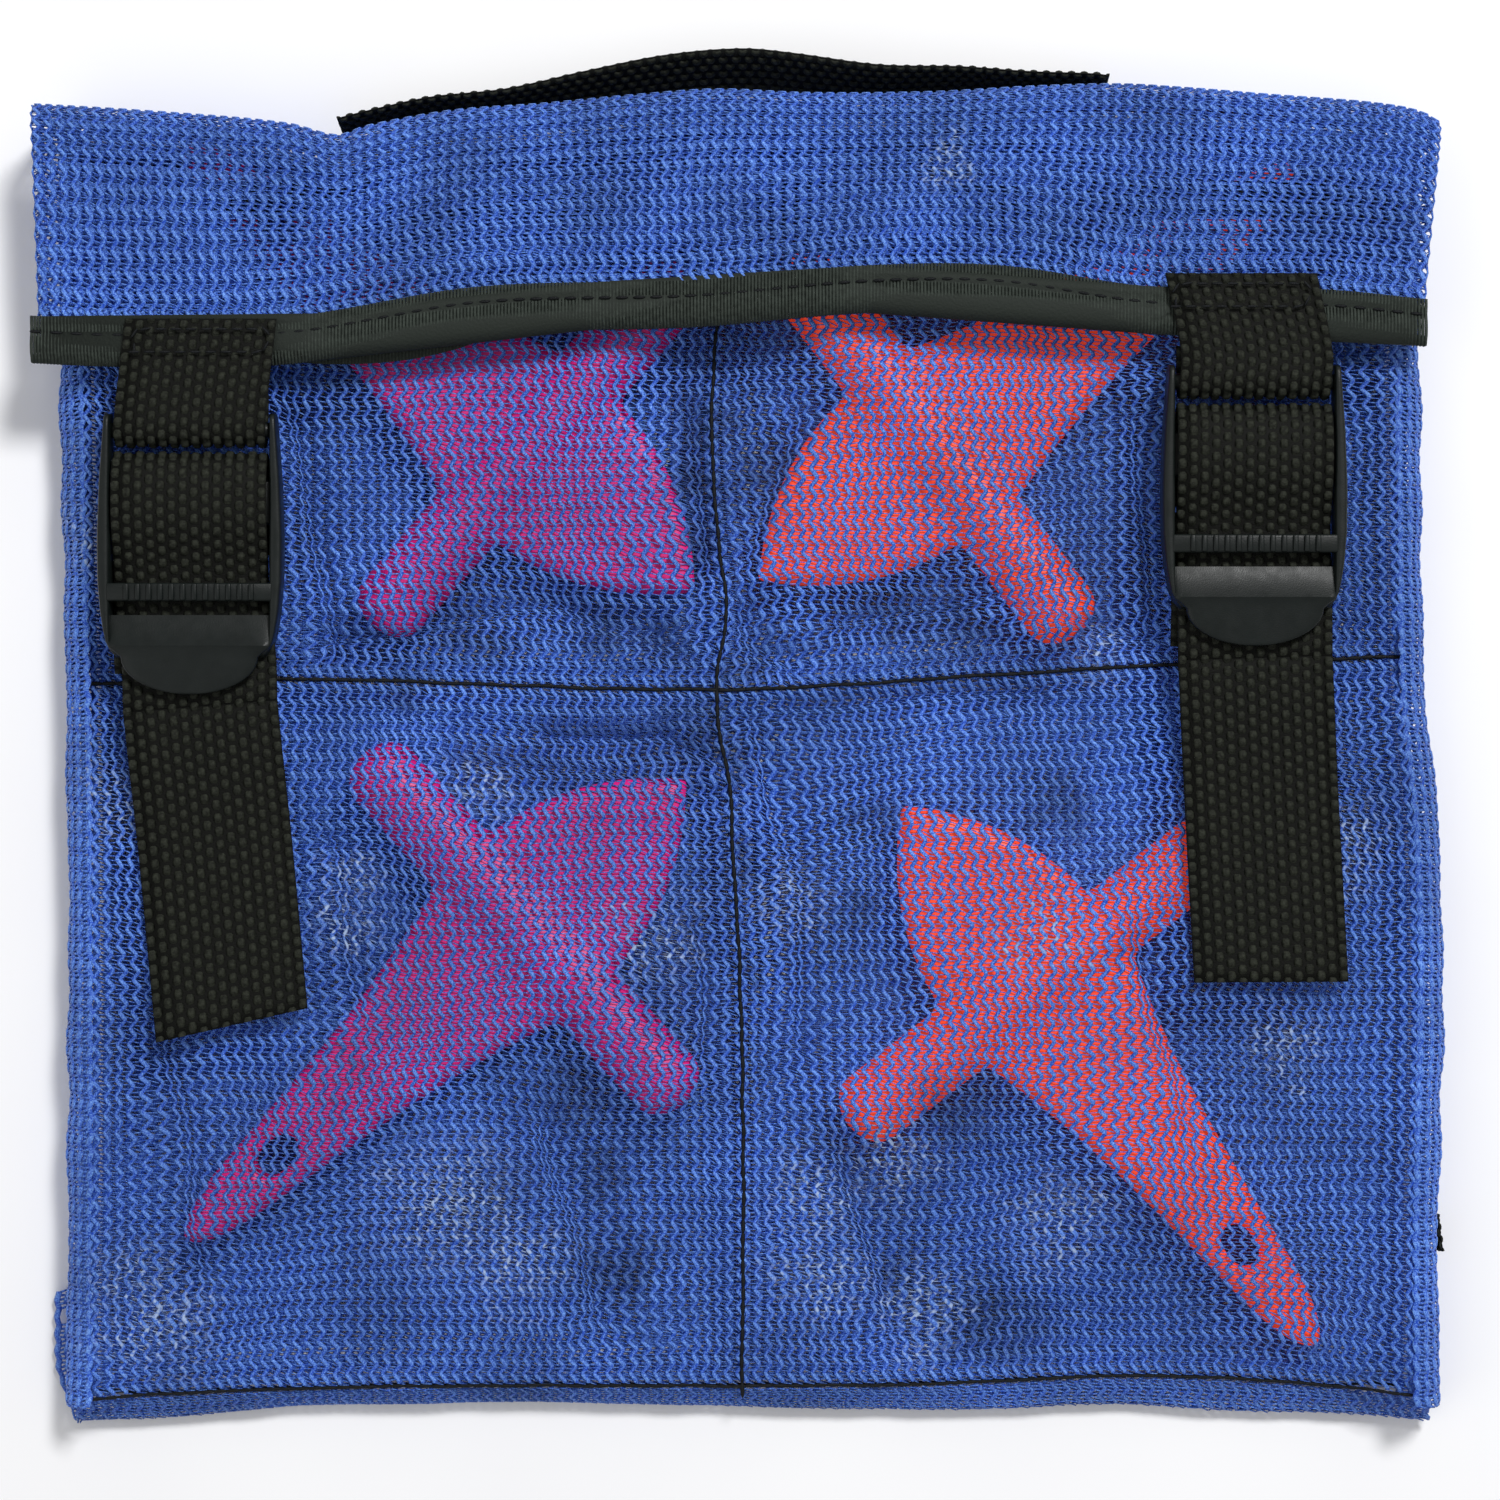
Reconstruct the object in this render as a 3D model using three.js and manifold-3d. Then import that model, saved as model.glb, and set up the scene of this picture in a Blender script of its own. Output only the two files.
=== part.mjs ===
// Flat mesh ball bag lying on its back: two mesh panels sewn into four pockets, a buckled flap,
// webbing straps and a handle, with four cross-shaped throwing toys in the pockets.
// Millimetres. +X runs across the bag, +Y towards the handle, +Z up from the surface it lies on.

import * as THREE from 'three';
import { mergeVertices } from 'three/addons/utils/BufferGeometryUtils.js';
import Module from 'manifold-3d';

const wasm = await Module();
wasm.setup();

// Driving dimensions.
const GAP = 0.3;                      // clearance that touching pieces keep
const MESH = 0.8;                     // thickness of the knitted mesh
const WEBBING = { width: 25, thick: 1.3 };
const THREAD_RADIUS = 0.32;

const TOP_Y = 102.2;                  // outer face of the gusset along the top
const MOUTH_Y = 84;                   // upper edge of the front panel, below its binding
const MOUTH_BINDING = 6;
const LEFT_EDGE = line([[-111, -109.2], [-20, -109], [60, -110.4], [103, -110.8]]);
const RIGHT_EDGE = line([[-111, 112.8], [-79, 112.6], [-40, 113.4], [-15, 112.8], [12, 110.4], [103, 109.6]]);
const BOTTOM_EDGE = line([[-110, -110.7], [-58, -107.6], [26, -108.6], [60, -107.8], [114, -110.7]]);
const GUSSET_REACH = 4.8;             // how far a side gusset bulges out past the panels
const GUSSET_MIDDLE = 5.9;            // height of the gusset's widest point
const GUSSET_RISE = 5;

// The seams that divide the pockets, each with its line in plan.
const CENTRE_SEAM = line([[-105, 0.2], [-9, -1.1], [23, -3], [64, -4], [103, -2]]);
const CROSS_SEAM = line([[-110, 9.8], [-72, 10.8], [-4, 9.2], [41, 11.6], [70, 13.2], [114, 14.6]]);
const BOTTOM_SEAM = line([[-110, -105.2], [-60, -103.4], [25, -103], [68, -101.6], [114, -104.6]]);
const SEAM_FLAT = 1.2;                // flat sewn width each side of a seam's thread
const PUFF_REACH = 48;
const PUFF_POWER = 20;                // how steeply a stuffed pocket rises from its seams

const FRONT = { seam: 5.6, strapSeam: 8.6, full: 11.8, edge: 10.6 };   // underside heights
const BACK_SEAM = 4.4;                // how far the back panel lifts at a seam

const FLAP = { hinge: [102.8, 14.8], lining: 15, panel: 16.1, hem: [14.9, 17.6] };
const FLAP_LEFT = line([[60, -112.6], [102, -114]]);
const FLAP_RIGHT = line([[60, 108.6], [102, 112.4]]);
const FLAP_BACK = 102.2;
const HEM_TOP = line([[-113, 68.4], [-99, 67.8], [-72, 68.2], [-42, 73], [-7, 74.1], [20, 76.4],
  [41, 76.4], [65, 73], [92, 72.6], [109, 71]]);
const HEM_HEIGHT = 7.7;

const HANDLE = { width: 11, thick: 1.4, low: 0.2, root: 103.4, peak: 110, from: -64, to: 59, free: 0.16 };

// A strap: where its buckle's anchor bar lies, the loop's length above it and the tail's lie.
const AXLE_Z = 16.2;
const STRAPS = [
  { side: 'left', x: -87.5, loopX: -85.6, y: 50.2, loopTop: 67.7, tailEnd: [-81.4, -44.6], tailTurn: 0.08,
    seamY: 10 },
  { side: 'right', x: 81.3, loopX: 79, y: 57.9, loopTop: 74.9, tailEnd: [84.5, -37.7], tailTurn: 0.03,
    seamY: 14.4 },
];

// Buckle, measured from its anchor bar: -Y towards the thumb tab.
const BUCKLE = {
  barRadius: 1.4, inner: 12.9, outer: 14.4, half: 2.6,
  smoothRung: { y: -11.5, z: 0.1, width: 7, thick: 1.6 },
  gripRung: { y: -25.8, z: 1.9, width: 2.9, thick: 2 },
  plate: { from: -33.2, to: -35.8, under: 1.2, thick: 1.8 },
  tabRadius: 9.2, tabEnd: -42.4,
};

// A toy, with its length along +X from the crossing to the nose.
const TOY = {
  nose: 35.8, shoulder: 15.2, tail: -74.6, thick: 6, round: 1.5,
  bar: 38.5, barRadius: 6.2, barThick: 10, barDome: 4.5, middle: 6.4,
  hole: { x: -54, half: 1.6, radius: 2.5 },
};
const TOYS = [
  { name: 'toy_upper_left', at: [-34.4, 48.3], nose: [0.753, -0.658], colour: '#b3206f' },
  { name: 'toy_upper_right', at: [30.9, 48.5], nose: [-0.793, -0.609], colour: '#e8402f' },
  { name: 'toy_lower_left', at: [-35.2, -29.4], nose: [0.735, 0.677], colour: '#b3206f' },
  { name: 'toy_lower_right', at: [47.6, -37.8], nose: [-0.609, 0.793], colour: '#e8402f' },
];

const FINISH = {
  mesh: { color: '#3a63c4', roughness: 0.7 },
  webbing: { color: '#20221e', roughness: 0.85 },
  thread: { color: '#15171a', roughness: 0.8 },
  buckle: { color: '#1e2324', roughness: 0.45 },
  toy: { roughness: 0.4 },
};

const bag = new THREE.Group();

function add(name, geometry, finish) {
  const mesh = new THREE.Mesh(geometry, new THREE.MeshStandardMaterial({ metalness: 0, ...finish }));
  mesh.name = name;
  bag.add(mesh);
  return mesh;
}

// ---- Shape tools ----

// A smooth line through [position, value] points, as a function of position.
function line(points) {
  const slope = points.map((_, i) => {
    const before = points[Math.max(i - 1, 0)];
    const after = points[Math.min(i + 1, points.length - 1)];
    return (after[1] - before[1]) / (after[0] - before[0]);
  });
  return (position) => {
    const p = THREE.MathUtils.clamp(position, points[0][0], points[points.length - 1][0]);
    let i = 0;
    while (i < points.length - 2 && p > points[i + 1][0]) i += 1;
    const span = points[i + 1][0] - points[i][0];
    const t = (p - points[i][0]) / span;
    const blend = t * t * (3 - 2 * t);
    const bend = t * (1 - t) * span;
    return points[i][1] * (1 - blend) + points[i + 1][1] * blend
      + bend * ((1 - t) * slope[i] - t * slope[i + 1]);
  };
}

function steps(count, from = 0, to = 1) {
  return Array.from({ length: count + 1 }, (_, i) => from + (to - from) * i / count);
}

function smooth(value, from, to) {
  return THREE.MathUtils.smoothstep(value, from, to);
}

function volume(geometry) {
  const position = geometry.getAttribute('position');
  const order = geometry.index.array;
  const corner = [new THREE.Vector3(), new THREE.Vector3(), new THREE.Vector3()];
  let sum = 0;
  for (let i = 0; i < order.length; i += 3) {
    corner.forEach((point, k) => point.fromBufferAttribute(position, order[i + k]));
    sum += corner[0].dot(corner[1].cross(corner[2])) / 6;
  }
  return sum;
}

// A closed sheet between two surfaces over the same grid of parameters.
function sheet(us, vs, over, under) {
  const columns = us.length;
  const rows = vs.length;
  const positions = [over, under].flatMap((side) => vs.flatMap((v) => us.flatMap((u) => side(u, v))));
  const index = [];
  const quad = (a, b, c, d) => index.push(a, b, c, a, c, d);
  const top = (i, j) => j * columns + i;
  const low = (i, j) => rows * columns + top(i, j);
  for (let j = 0; j < rows - 1; j += 1) {
    for (let i = 0; i < columns - 1; i += 1) {
      quad(top(i, j), top(i + 1, j), top(i + 1, j + 1), top(i, j + 1));
      quad(low(i, j), low(i, j + 1), low(i + 1, j + 1), low(i + 1, j));
    }
    quad(top(0, j), top(0, j + 1), low(0, j + 1), low(0, j));
    quad(top(columns - 1, j), low(columns - 1, j), low(columns - 1, j + 1), top(columns - 1, j + 1));
  }
  for (let i = 0; i < columns - 1; i += 1) {
    quad(top(i, 0), low(i, 0), low(i + 1, 0), top(i + 1, 0));
    quad(top(i, rows - 1), top(i + 1, rows - 1), low(i + 1, rows - 1), low(i, rows - 1));
  }
  const geometry = new THREE.BufferGeometry();
  geometry.setAttribute('position', new THREE.Float32BufferAttribute(positions, 3));
  geometry.setIndex(index);
  if (volume(geometry) < 0) geometry.setIndex(index.reverse());
  return geometry;
}

// A flat strap of webbing along a curve; across is its width direction.
function ribbon(points, across, width, thick, count) {
  const curve = new THREE.CatmullRomCurve3(points.map((p) => new THREE.Vector3(...p)), false, 'centripetal');
  const side = new THREE.Vector3(...across).normalize();
  const face = (sign) => (u, v) => {
    const normal = new THREE.Vector3().crossVectors(side, curve.getTangentAt(v)).normalize();
    const point = curve.getPointAt(v).addScaledVector(normal, sign * thick / 2);
    return point.addScaledVector(side, (u - 0.5) * width).toArray();
  };
  return sheet([0, 1], steps(count), face(1), face(-1));
}

// A thread along a line of points.
function cord(points, radius, count) {
  const curve = new THREE.CatmullRomCurve3(points.map((p) => new THREE.Vector3(...p)));
  const section = new THREE.Shape(steps(5, 0, 5 / 6).map((turn) => {
    const angle = turn * 2 * Math.PI;
    return new THREE.Vector2(radius * Math.cos(angle), radius * Math.sin(angle));
  }));
  return new THREE.ExtrudeGeometry(section, { extrudePath: curve, steps: count, curveSegments: 1 });
}

function manifold(geometry) {
  const bare = geometry.index ? geometry.clone() : geometry;
  bare.deleteAttribute('normal');
  bare.deleteAttribute('uv');
  const merged = mergeVertices(bare, 1e-4);
  return new wasm.Manifold(new wasm.Mesh({
    numProp: 3,
    vertProperties: new Float32Array(merged.getAttribute('position').array),
    triVerts: new Uint32Array(merged.index.array),
  }));
}

function geometryOf(solid) {
  const { vertProperties, triVerts } = solid.getMesh();
  const geometry = new THREE.BufferGeometry();
  geometry.setAttribute('position', new THREE.Float32BufferAttribute(vertProperties, 3));
  geometry.setIndex(Array.from(triVerts));
  return geometry;
}

function box(width, length, height, x, y, z) {
  return new THREE.BoxGeometry(width, length, height).translate(x, y, z);
}

// ---- Pockets: how full the bag is at a point ----

function rise(distance) {
  const away = THREE.MathUtils.clamp((Math.abs(distance) - SEAM_FLAT) / PUFF_REACH, 0, 1);
  return 1 - (1 - away) ** PUFF_POWER;
}

function fullness(x, y) {
  const centre = THREE.MathUtils.lerp(rise(x - CENTRE_SEAM(y)), 1, smooth(y, MOUTH_Y - 4, MOUTH_Y + 8));
  return centre * rise(y - CROSS_SEAM(x)) * rise(y - BOTTOM_SEAM(x));
}

function frontHeight(x, y) {
  const seam = THREE.MathUtils.lerp(FRONT.seam, FRONT.strapSeam, smooth(Math.abs(x), 40, 78) * smooth(y, -20, 0));
  const sides = smooth(Math.abs(x), 96, 106);
  return THREE.MathUtils.lerp(seam, FRONT.full, fullness(x, y)) * (1 - sides)
    + THREE.MathUtils.lerp(FRONT.strapSeam, FRONT.edge, fullness(x, y)) * sides;
}

function backHeight(x, y) {
  return BACK_SEAM * (1 - fullness(x, y)) * (1 - smooth(Math.abs(x), 96, 105));
}

function panelX(u, y) {
  return THREE.MathUtils.lerp(LEFT_EDGE(y) + GUSSET_REACH, RIGHT_EDGE(y) - GUSSET_REACH, u);
}

// Grid positions, closer together beside the seam where a pocket rises.
const BESIDE_SEAM = [0.012, 0.03, 0.055, 0.1, 0.2, 0.34];
const ACROSS = [0, 0.08, 0.16, ...BESIDE_SEAM.toReversed().map((d) => 0.5 - d), 0.5,
  ...BESIDE_SEAM.map((d) => 0.5 + d), 0.92, 1];
const UPWARD = [0, 0.015, 0.035, 0.065, 0.11, 0.2, 0.5];
const CLOSED = [...UPWARD, ...UPWARD.slice(0, -1).toReversed().map((v) => 1 - v)];

// Follows the centre seam, so that a grid line runs along it.
function seamX(u, y) {
  const shift = CENTRE_SEAM(y) - panelX(0.5, y);
  return panelX(u, y) + shift * (1 - Math.abs(2 * u - 1));
}

function pocketPanel(vs, yAt, height) {
  const face = (lift) => (u, v) => {
    const x = seamX(u, yAt(u, v));
    const y = yAt(u, v);
    return [x, y, height(x, y) + lift];
  };
  return sheet(ACROSS, vs, face(MESH), face(0));
}

function addPanels() {
  const between = (low, high) => (u, v) => {
    const x = panelX(u, 0);
    return THREE.MathUtils.lerp(low(x), high(x), v);
  };
  const lower = between((x) => BOTTOM_SEAM(x) + GAP, (x) => CROSS_SEAM(x) - GAP);
  const upper = between((x) => CROSS_SEAM(x) + GAP, () => MOUTH_Y);
  const whole = (u, v) => {
    const x = panelX(u, 0);
    return v < 0.5
      ? THREE.MathUtils.lerp(BOTTOM_SEAM(x) + GAP, CROSS_SEAM(x), 2 * v)
      : THREE.MathUtils.lerp(CROSS_SEAM(x), TOP_Y, 2 * v - 1);
  };
  const wholeSteps = [...CLOSED.map((v) => v / 2), ...UPWARD.slice(1).map((v) => 0.5 + v / 2), 0.9, 1];
  add('front_panel_lower', pocketPanel(CLOSED, lower, frontHeight), FINISH.mesh);
  add('front_panel_upper', pocketPanel([...UPWARD, 0.8, 1], upper, frontHeight), FINISH.mesh);
  add('back_panel', pocketPanel(wholeSteps, whole, backHeight), FINISH.mesh);

  const mouth = (lift) => (u, v) => {
    const x = seamX(u, MOUTH_Y);
    return [x, MOUTH_Y + GAP + v * MOUTH_BINDING, frontHeight(x, MOUTH_Y) + lift];
  };
  add('pocket_mouth_binding', sheet(ACROSS, [0, 1], mouth(1.2), mouth(-0.4)), FINISH.webbing);

  const hem = (middle, half) => (u, v) => {
    const x = panelX(u, BOTTOM_EDGE(0));
    const y = THREE.MathUtils.lerp(BOTTOM_EDGE(x), BOTTOM_SEAM(x) - SEAM_FLAT, v);
    return [x, y, THREE.MathUtils.lerp(1.6, middle, v) + half];
  };
  add('bottom_hem', sheet(steps(14), [0, 0.5, 1], hem(5.4, MESH), hem(5.4, -MESH)), FINISH.mesh);
}

// ---- Gussets along the sides and the top ----

function addGussets() {
  const turn = THREE.MathUtils.degToRad(74);
  for (const [name, edge, sign] of [['gusset_left', LEFT_EDGE, -1], ['gusset_right', RIGHT_EDGE, 1]]) {
    const face = (inset) => (u, v) => {
      const y = THREE.MathUtils.lerp(-103.5, TOP_Y - 1.4, v);
      const angle = THREE.MathUtils.lerp(-turn, turn, u);
      const root = edge(y) - sign * (GUSSET_REACH - GAP);
      const reach = GUSSET_REACH - GAP - inset;
      return [root + sign * reach * Math.cos(angle), y, GUSSET_MIDDLE + (GUSSET_RISE - inset) * Math.sin(angle)];
    };
    add(name, sheet(steps(6), steps(8), face(0), face(MESH)), FINISH.mesh);
  }
  const top = box(panelX(1, TOP_Y) - panelX(0, TOP_Y), MESH, FLAP.hinge[1] - 2 * GAP - MESH - GAP,
    (panelX(0, TOP_Y) + panelX(1, TOP_Y)) / 2, TOP_Y - MESH / 2, (FLAP.hinge[1] - GAP) / 2 + MESH / 2);
  add('gusset_top', top, FINISH.mesh);

  // The lower left corner's mesh, folded out flat, with its open drain hole.
  const corner = new THREE.Shape();
  corner.moveTo(-107.6, -110.6);
  corner.lineTo(-107.6, -88.4);
  corner.quadraticCurveTo(-112.4, -89.2, -112.2, -93.5);
  corner.quadraticCurveTo(-111.4, -102, -109.4, -110.6);
  const hole = new THREE.Path().absarc(-109.9, -92.8, 1.1, 0, 2 * Math.PI, true);
  corner.holes.push(hole);
  const fold = new THREE.ExtrudeGeometry(corner, { depth: 0.6, bevelEnabled: false, curveSegments: 4 });
  add('corner_fold', geometryOf(manifold(fold)), FINISH.mesh);
  add('side_strap_end', box(1.1, 5.6, 1.3, 113.45, -79, 3.2), FINISH.webbing);
}

// ---- Seam threads ----

function addThreads() {
  const above = MESH + THREAD_RADIUS + 0.9;
  const along = (xs, yAt) => xs.map((x) => [x, yAt(x), frontHeight(x, yAt(x)) + above]);
  const centre = (ys) => ys.map((y) => [CENTRE_SEAM(y), y, frontHeight(CENTRE_SEAM(y), y) + above]);
  add('centre_seam_upper', cord(centre(steps(8, 14, MOUTH_Y - 14)), THREAD_RADIUS, 16), FINISH.thread);
  add('centre_seam_lower', cord(centre(steps(10, -100, 5)), THREAD_RADIUS, 20), FINISH.thread);
  add('cross_seam', cord(along(steps(40, -101, 104), CROSS_SEAM), THREAD_RADIUS, 40), FINISH.thread);
  const foot = (x) => BOTTOM_SEAM(x) - SEAM_FLAT;
  add('bottom_seam', cord(along(steps(18, -103, 107), foot), THREAD_RADIUS, 30), FINISH.thread);
}

// ---- Flap, its binding and the stitching along it ----

function addFlap() {
  const face = (z, from, to) => (u, v) => {
    const y = (x) => THREE.MathUtils.lerp(from(x), to(x), v);
    const near = THREE.MathUtils.lerp(FLAP_LEFT(72), FLAP_RIGHT(72), u);
    const x = THREE.MathUtils.lerp(FLAP_LEFT(y(near)), FLAP_RIGHT(y(near)), u);
    return [x, y(x), z];
  };
  const hemTop = (x) => HEM_TOP(x) + GAP;
  const back = () => FLAP_BACK;
  const cloth = (z) => sheet(steps(14), steps(2), face(z + MESH, hemTop, back), face(z, hemTop, back));
  add('flap_panel', cloth(FLAP.panel), FINISH.mesh);
  add('flap_lining', cloth(FLAP.lining), FINISH.mesh);
  const hemLow = (x) => HEM_TOP(x) - HEM_HEIGHT;
  const [under, over] = FLAP.hem;
  add('flap_binding', sheet(steps(18), [0, 1], face(over, hemLow, HEM_TOP), face(under, hemLow, HEM_TOP)),
    FINISH.webbing);

  const stitchZ = over + THREAD_RADIUS + GAP;
  const stretches = [['left_edge', -111.5, -99.3], ['middle', -71.6, 64.5], ['right_edge', 93, 107.5]];
  for (const [where, from, to] of stretches) {
    const count = Math.max(2, Math.round((to - from) / 9));
    const points = steps(count, from, to).map((x) => [x, HEM_TOP(x) - 2.6, stitchZ]);
    add(`binding_stitch_${where}`, cord(points, 0.25, 2 * count), FINISH.thread);
  }
}

// ---- Handle: a webbing strip on edge, sewn to the top gusset at both ends ----

function addHandle() {
  const reach = (t) => HANDLE.root + (HANDLE.peak - HANDLE.root) * Math.sin(Math.PI * t) ** 1.2;
  const stretch = (from, to) => steps(8, from, to).map((t) => [
    THREE.MathUtils.lerp(HANDLE.from, HANDLE.to, t), reach(t), HANDLE.low + HANDLE.width / 2]);
  const strip = (points) => ribbon(points, [0, 0, 1], HANDLE.width, HANDLE.thick, 12);
  const cut = GAP / (HANDLE.to - HANDLE.from);
  add('handle_end_left', strip(stretch(0, HANDLE.free - cut)), FINISH.webbing);
  add('handle', strip(stretch(HANDLE.free, 1 - HANDLE.free)), FINISH.webbing);
  add('handle_end_right', strip(stretch(1 - HANDLE.free + cut, 1)), FINISH.webbing);
}

// ---- Buckle: two rails, an anchor bar, two rungs and a plate with a thumb tab ----

function buckle() {
  const rail = (sign) => {
    const shape = new THREE.Shape();
    shape.moveTo(sign * BUCKLE.inner, 1.8);
    shape.lineTo(sign * (BUCKLE.outer - 0.7), 1.8);
    shape.quadraticCurveTo(sign * (BUCKLE.outer + 0.3), -18, sign * (BUCKLE.outer - 0.2), BUCKLE.plate.to + 4);
    shape.quadraticCurveTo(sign * (BUCKLE.outer - 0.5), BUCKLE.plate.to, sign * BUCKLE.inner, BUCKLE.plate.to);
    const extruded = new THREE.ExtrudeGeometry(shape, { depth: 2 * BUCKLE.half, bevelEnabled: false, curveSegments: 6 });
    return manifold(extruded.translate(0, 0, -BUCKLE.half));
  };
  const span = 2 * BUCKLE.inner + 0.6;
  const bar = new THREE.CylinderGeometry(BUCKLE.barRadius, BUCKLE.barRadius, span, 12).rotateZ(Math.PI / 2);
  const rung = ({ y, z, width, thick }) => manifold(box(span, width, thick, 0, y, z));
  const { from, to, under, thick } = BUCKLE.plate;
  const outline = new THREE.Shape();
  outline.moveTo(-span / 2, from);
  outline.lineTo(-span / 2, to);
  outline.lineTo(-BUCKLE.tabRadius, to);
  outline.bezierCurveTo(-BUCKLE.tabRadius, BUCKLE.tabEnd - 2, BUCKLE.tabRadius, BUCKLE.tabEnd - 2, BUCKLE.tabRadius, to);
  outline.lineTo(span / 2, to);
  outline.lineTo(span / 2, from);
  const plate = new THREE.ExtrudeGeometry(outline, { depth: thick, bevelEnabled: false, curveSegments: 12 });
  return [rail(-1), rail(1), manifold(bar), rung(BUCKLE.smoothRung), rung(BUCKLE.gripRung),
    manifold(plate.translate(0, 0, under))].reduce((whole, piece) => whole.add(piece));
}

// ---- Straps ----

function addStrap({ side, x, loopX, y, loopTop, tailEnd, tailTurn, seamY }) {
  const { width, thick } = WEBBING;
  const bend = BUCKLE.barRadius + GAP + thick / 2;
  add(`${side}_buckle`, geometryOf(buckle().translate([x, y, AXLE_Z])), FINISH.buckle);

  // The sewn loop comes down over the binding, round the anchor bar and back under the flap.
  const round = steps(6, 90, -90).map((degrees) => {
    const angle = THREE.MathUtils.degToRad(degrees);
    return [x, y - bend * Math.cos(angle), AXLE_Z + bend * Math.sin(angle)];
  });
  const loop = [[loopX, loopTop, AXLE_Z + bend], [x + 0.3, y + 3.6, AXLE_Z + bend], ...round,
    [x, y + 6, AXLE_Z - bend]];
  add(`${side}_fixed_loop`, ribbon(loop, [1, 0, 0], width - 0.6, thick, 24), FINISH.webbing);
  const tackZ = AXLE_Z + bend + thick / 2 + GAP + 0.25;
  const tack = (trim) => manifold(box(width - 5 - trim, 3.6 - trim, 0.5 + trim, loopX, loopTop - 3.2, tackZ));
  add(`${side}_loop_stitch`, geometryOf(tack(0).subtract(tack(1.6))), FINISH.thread);

  // The adjustable webbing rises behind the smooth rung, over it and down under the grip rung.
  const threaded = [[-19.8, -1.75], [-13, -1.75], [-8.2, -1.5], [-5.6, 0.4], [-7.4, 2.4], [-11.5, 3],
    [-15.8, 2.4], [-19.5, 0.9], [-23, -0.15], [-30, -0.15], [-36, -0.15], [-42.4, -0.15]];
  const inPlace = threaded.map(([along, up]) => [x, y + along, AXLE_Z + up]);
  add(`${side}_threaded_webbing`, ribbon(inPlace, [1, 0, 0], width, thick, 36), FINISH.webbing);

  // The free tail lies down over the lower pocket.
  const root = y - 44;
  const across = [Math.cos(tailTurn), Math.sin(tailTurn), 0];
  const restZ = FRONT.full + MESH + thick / 2 + 0.5;
  const tail = [[x, root, AXLE_Z - 0.15], [x + 0.4, root - 6, AXLE_Z - 0.6],
    [THREE.MathUtils.lerp(x, tailEnd[0], 0.45), root - 20, restZ + 0.4], [tailEnd[0], tailEnd[1], restZ]];
  add(`${side}_strap_tail`, ribbon(tail, across, width, thick, 10), FINISH.webbing);

  // The standing part is sewn into the cross seam and ends just short of the threaded part.
  const standing = [[x, seamY + 1.6, 12.6], [x, seamY + 6, 13.6], [x, y - 28, 14.3],
    [x, y - 20.6, AXLE_Z - 1.75]];
  add(`${side}_standing_strap`, ribbon(standing, [1, 0, 0], width, thick, 8), FINISH.webbing);
}

// ---- Toys ----

function toySolid() {
  const blade = new THREE.Shape();
  blade.moveTo(TOY.nose, 0);
  blade.quadraticCurveTo(22.6, 14.3, 5, TOY.shoulder);
  blade.lineTo(-5, TOY.shoulder);
  blade.bezierCurveTo(-24, 9, -40, 7.6, -60, 5.3);
  blade.quadraticCurveTo(-73, 3.8, TOY.tail, 0);
  blade.quadraticCurveTo(-73, -3.8, -60, -5.3);
  blade.bezierCurveTo(-40, -7.6, -24, -9, -5, -TOY.shoulder);
  blade.lineTo(5, -TOY.shoulder);
  blade.quadraticCurveTo(22.6, -14.3, TOY.nose, 0);
  const flat = new THREE.ExtrudeGeometry(blade, {
    depth: TOY.thick - 2 * TOY.round, bevelThickness: TOY.round, bevelSize: TOY.round,
    bevelOffset: -TOY.round, bevelSegments: 1, curveSegments: 6,
  });
  flat.translate(0, 0, -(TOY.thick - 2 * TOY.round) / 2);

  const profile = [new THREE.Vector2(0, -TOY.bar)];
  const dome = steps(4, 20, 90).map((degrees) => THREE.MathUtils.degToRad(degrees));
  const end = TOY.bar - TOY.barDome;
  dome.forEach((a) => profile.push(new THREE.Vector2(Math.sin(a), -end - TOY.barDome * Math.cos(a))));
  dome.toReversed().forEach((a) => profile.push(new THREE.Vector2(Math.sin(a), end + TOY.barDome * Math.cos(a))));
  profile.push(new THREE.Vector2(0, TOY.bar));
  const bar = new THREE.LatheGeometry(profile, 20).scale(TOY.barRadius, 1, TOY.barThick / 2);

  const { x, half, radius } = TOY.hole;
  const slot = new THREE.Shape();
  slot.absarc(x + half, 0, radius, -Math.PI / 2, Math.PI / 2);
  slot.absarc(x - half, 0, radius, Math.PI / 2, 1.5 * Math.PI);
  const punch = new THREE.ExtrudeGeometry(slot, { depth: 20, bevelEnabled: false, curveSegments: 4 });
  return manifold(flat).add(manifold(bar)).subtract(manifold(punch.translate(0, 0, -10)));
}

function addToys() {
  const solid = toySolid();
  for (const { name, at, nose, colour } of TOYS) {
    const toy = add(name, geometryOf(solid), { ...FINISH.toy, color: colour });
    toy.position.set(at[0], at[1], TOY.middle);
    toy.rotation.z = Math.atan2(nose[1], nose[0]);
  }
}

addPanels();
addGussets();
addThreads();
addFlap();
addHandle();
STRAPS.forEach(addStrap);
addToys();

export default bag;
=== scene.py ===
"""Flat mesh ball bag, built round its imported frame: warp-knit panels, webbing straps, buckles and toys.

The knit, the webbing and the ribbed tape are drawn flat by Geometry Nodes and laid on base sheets.
"""

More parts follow.
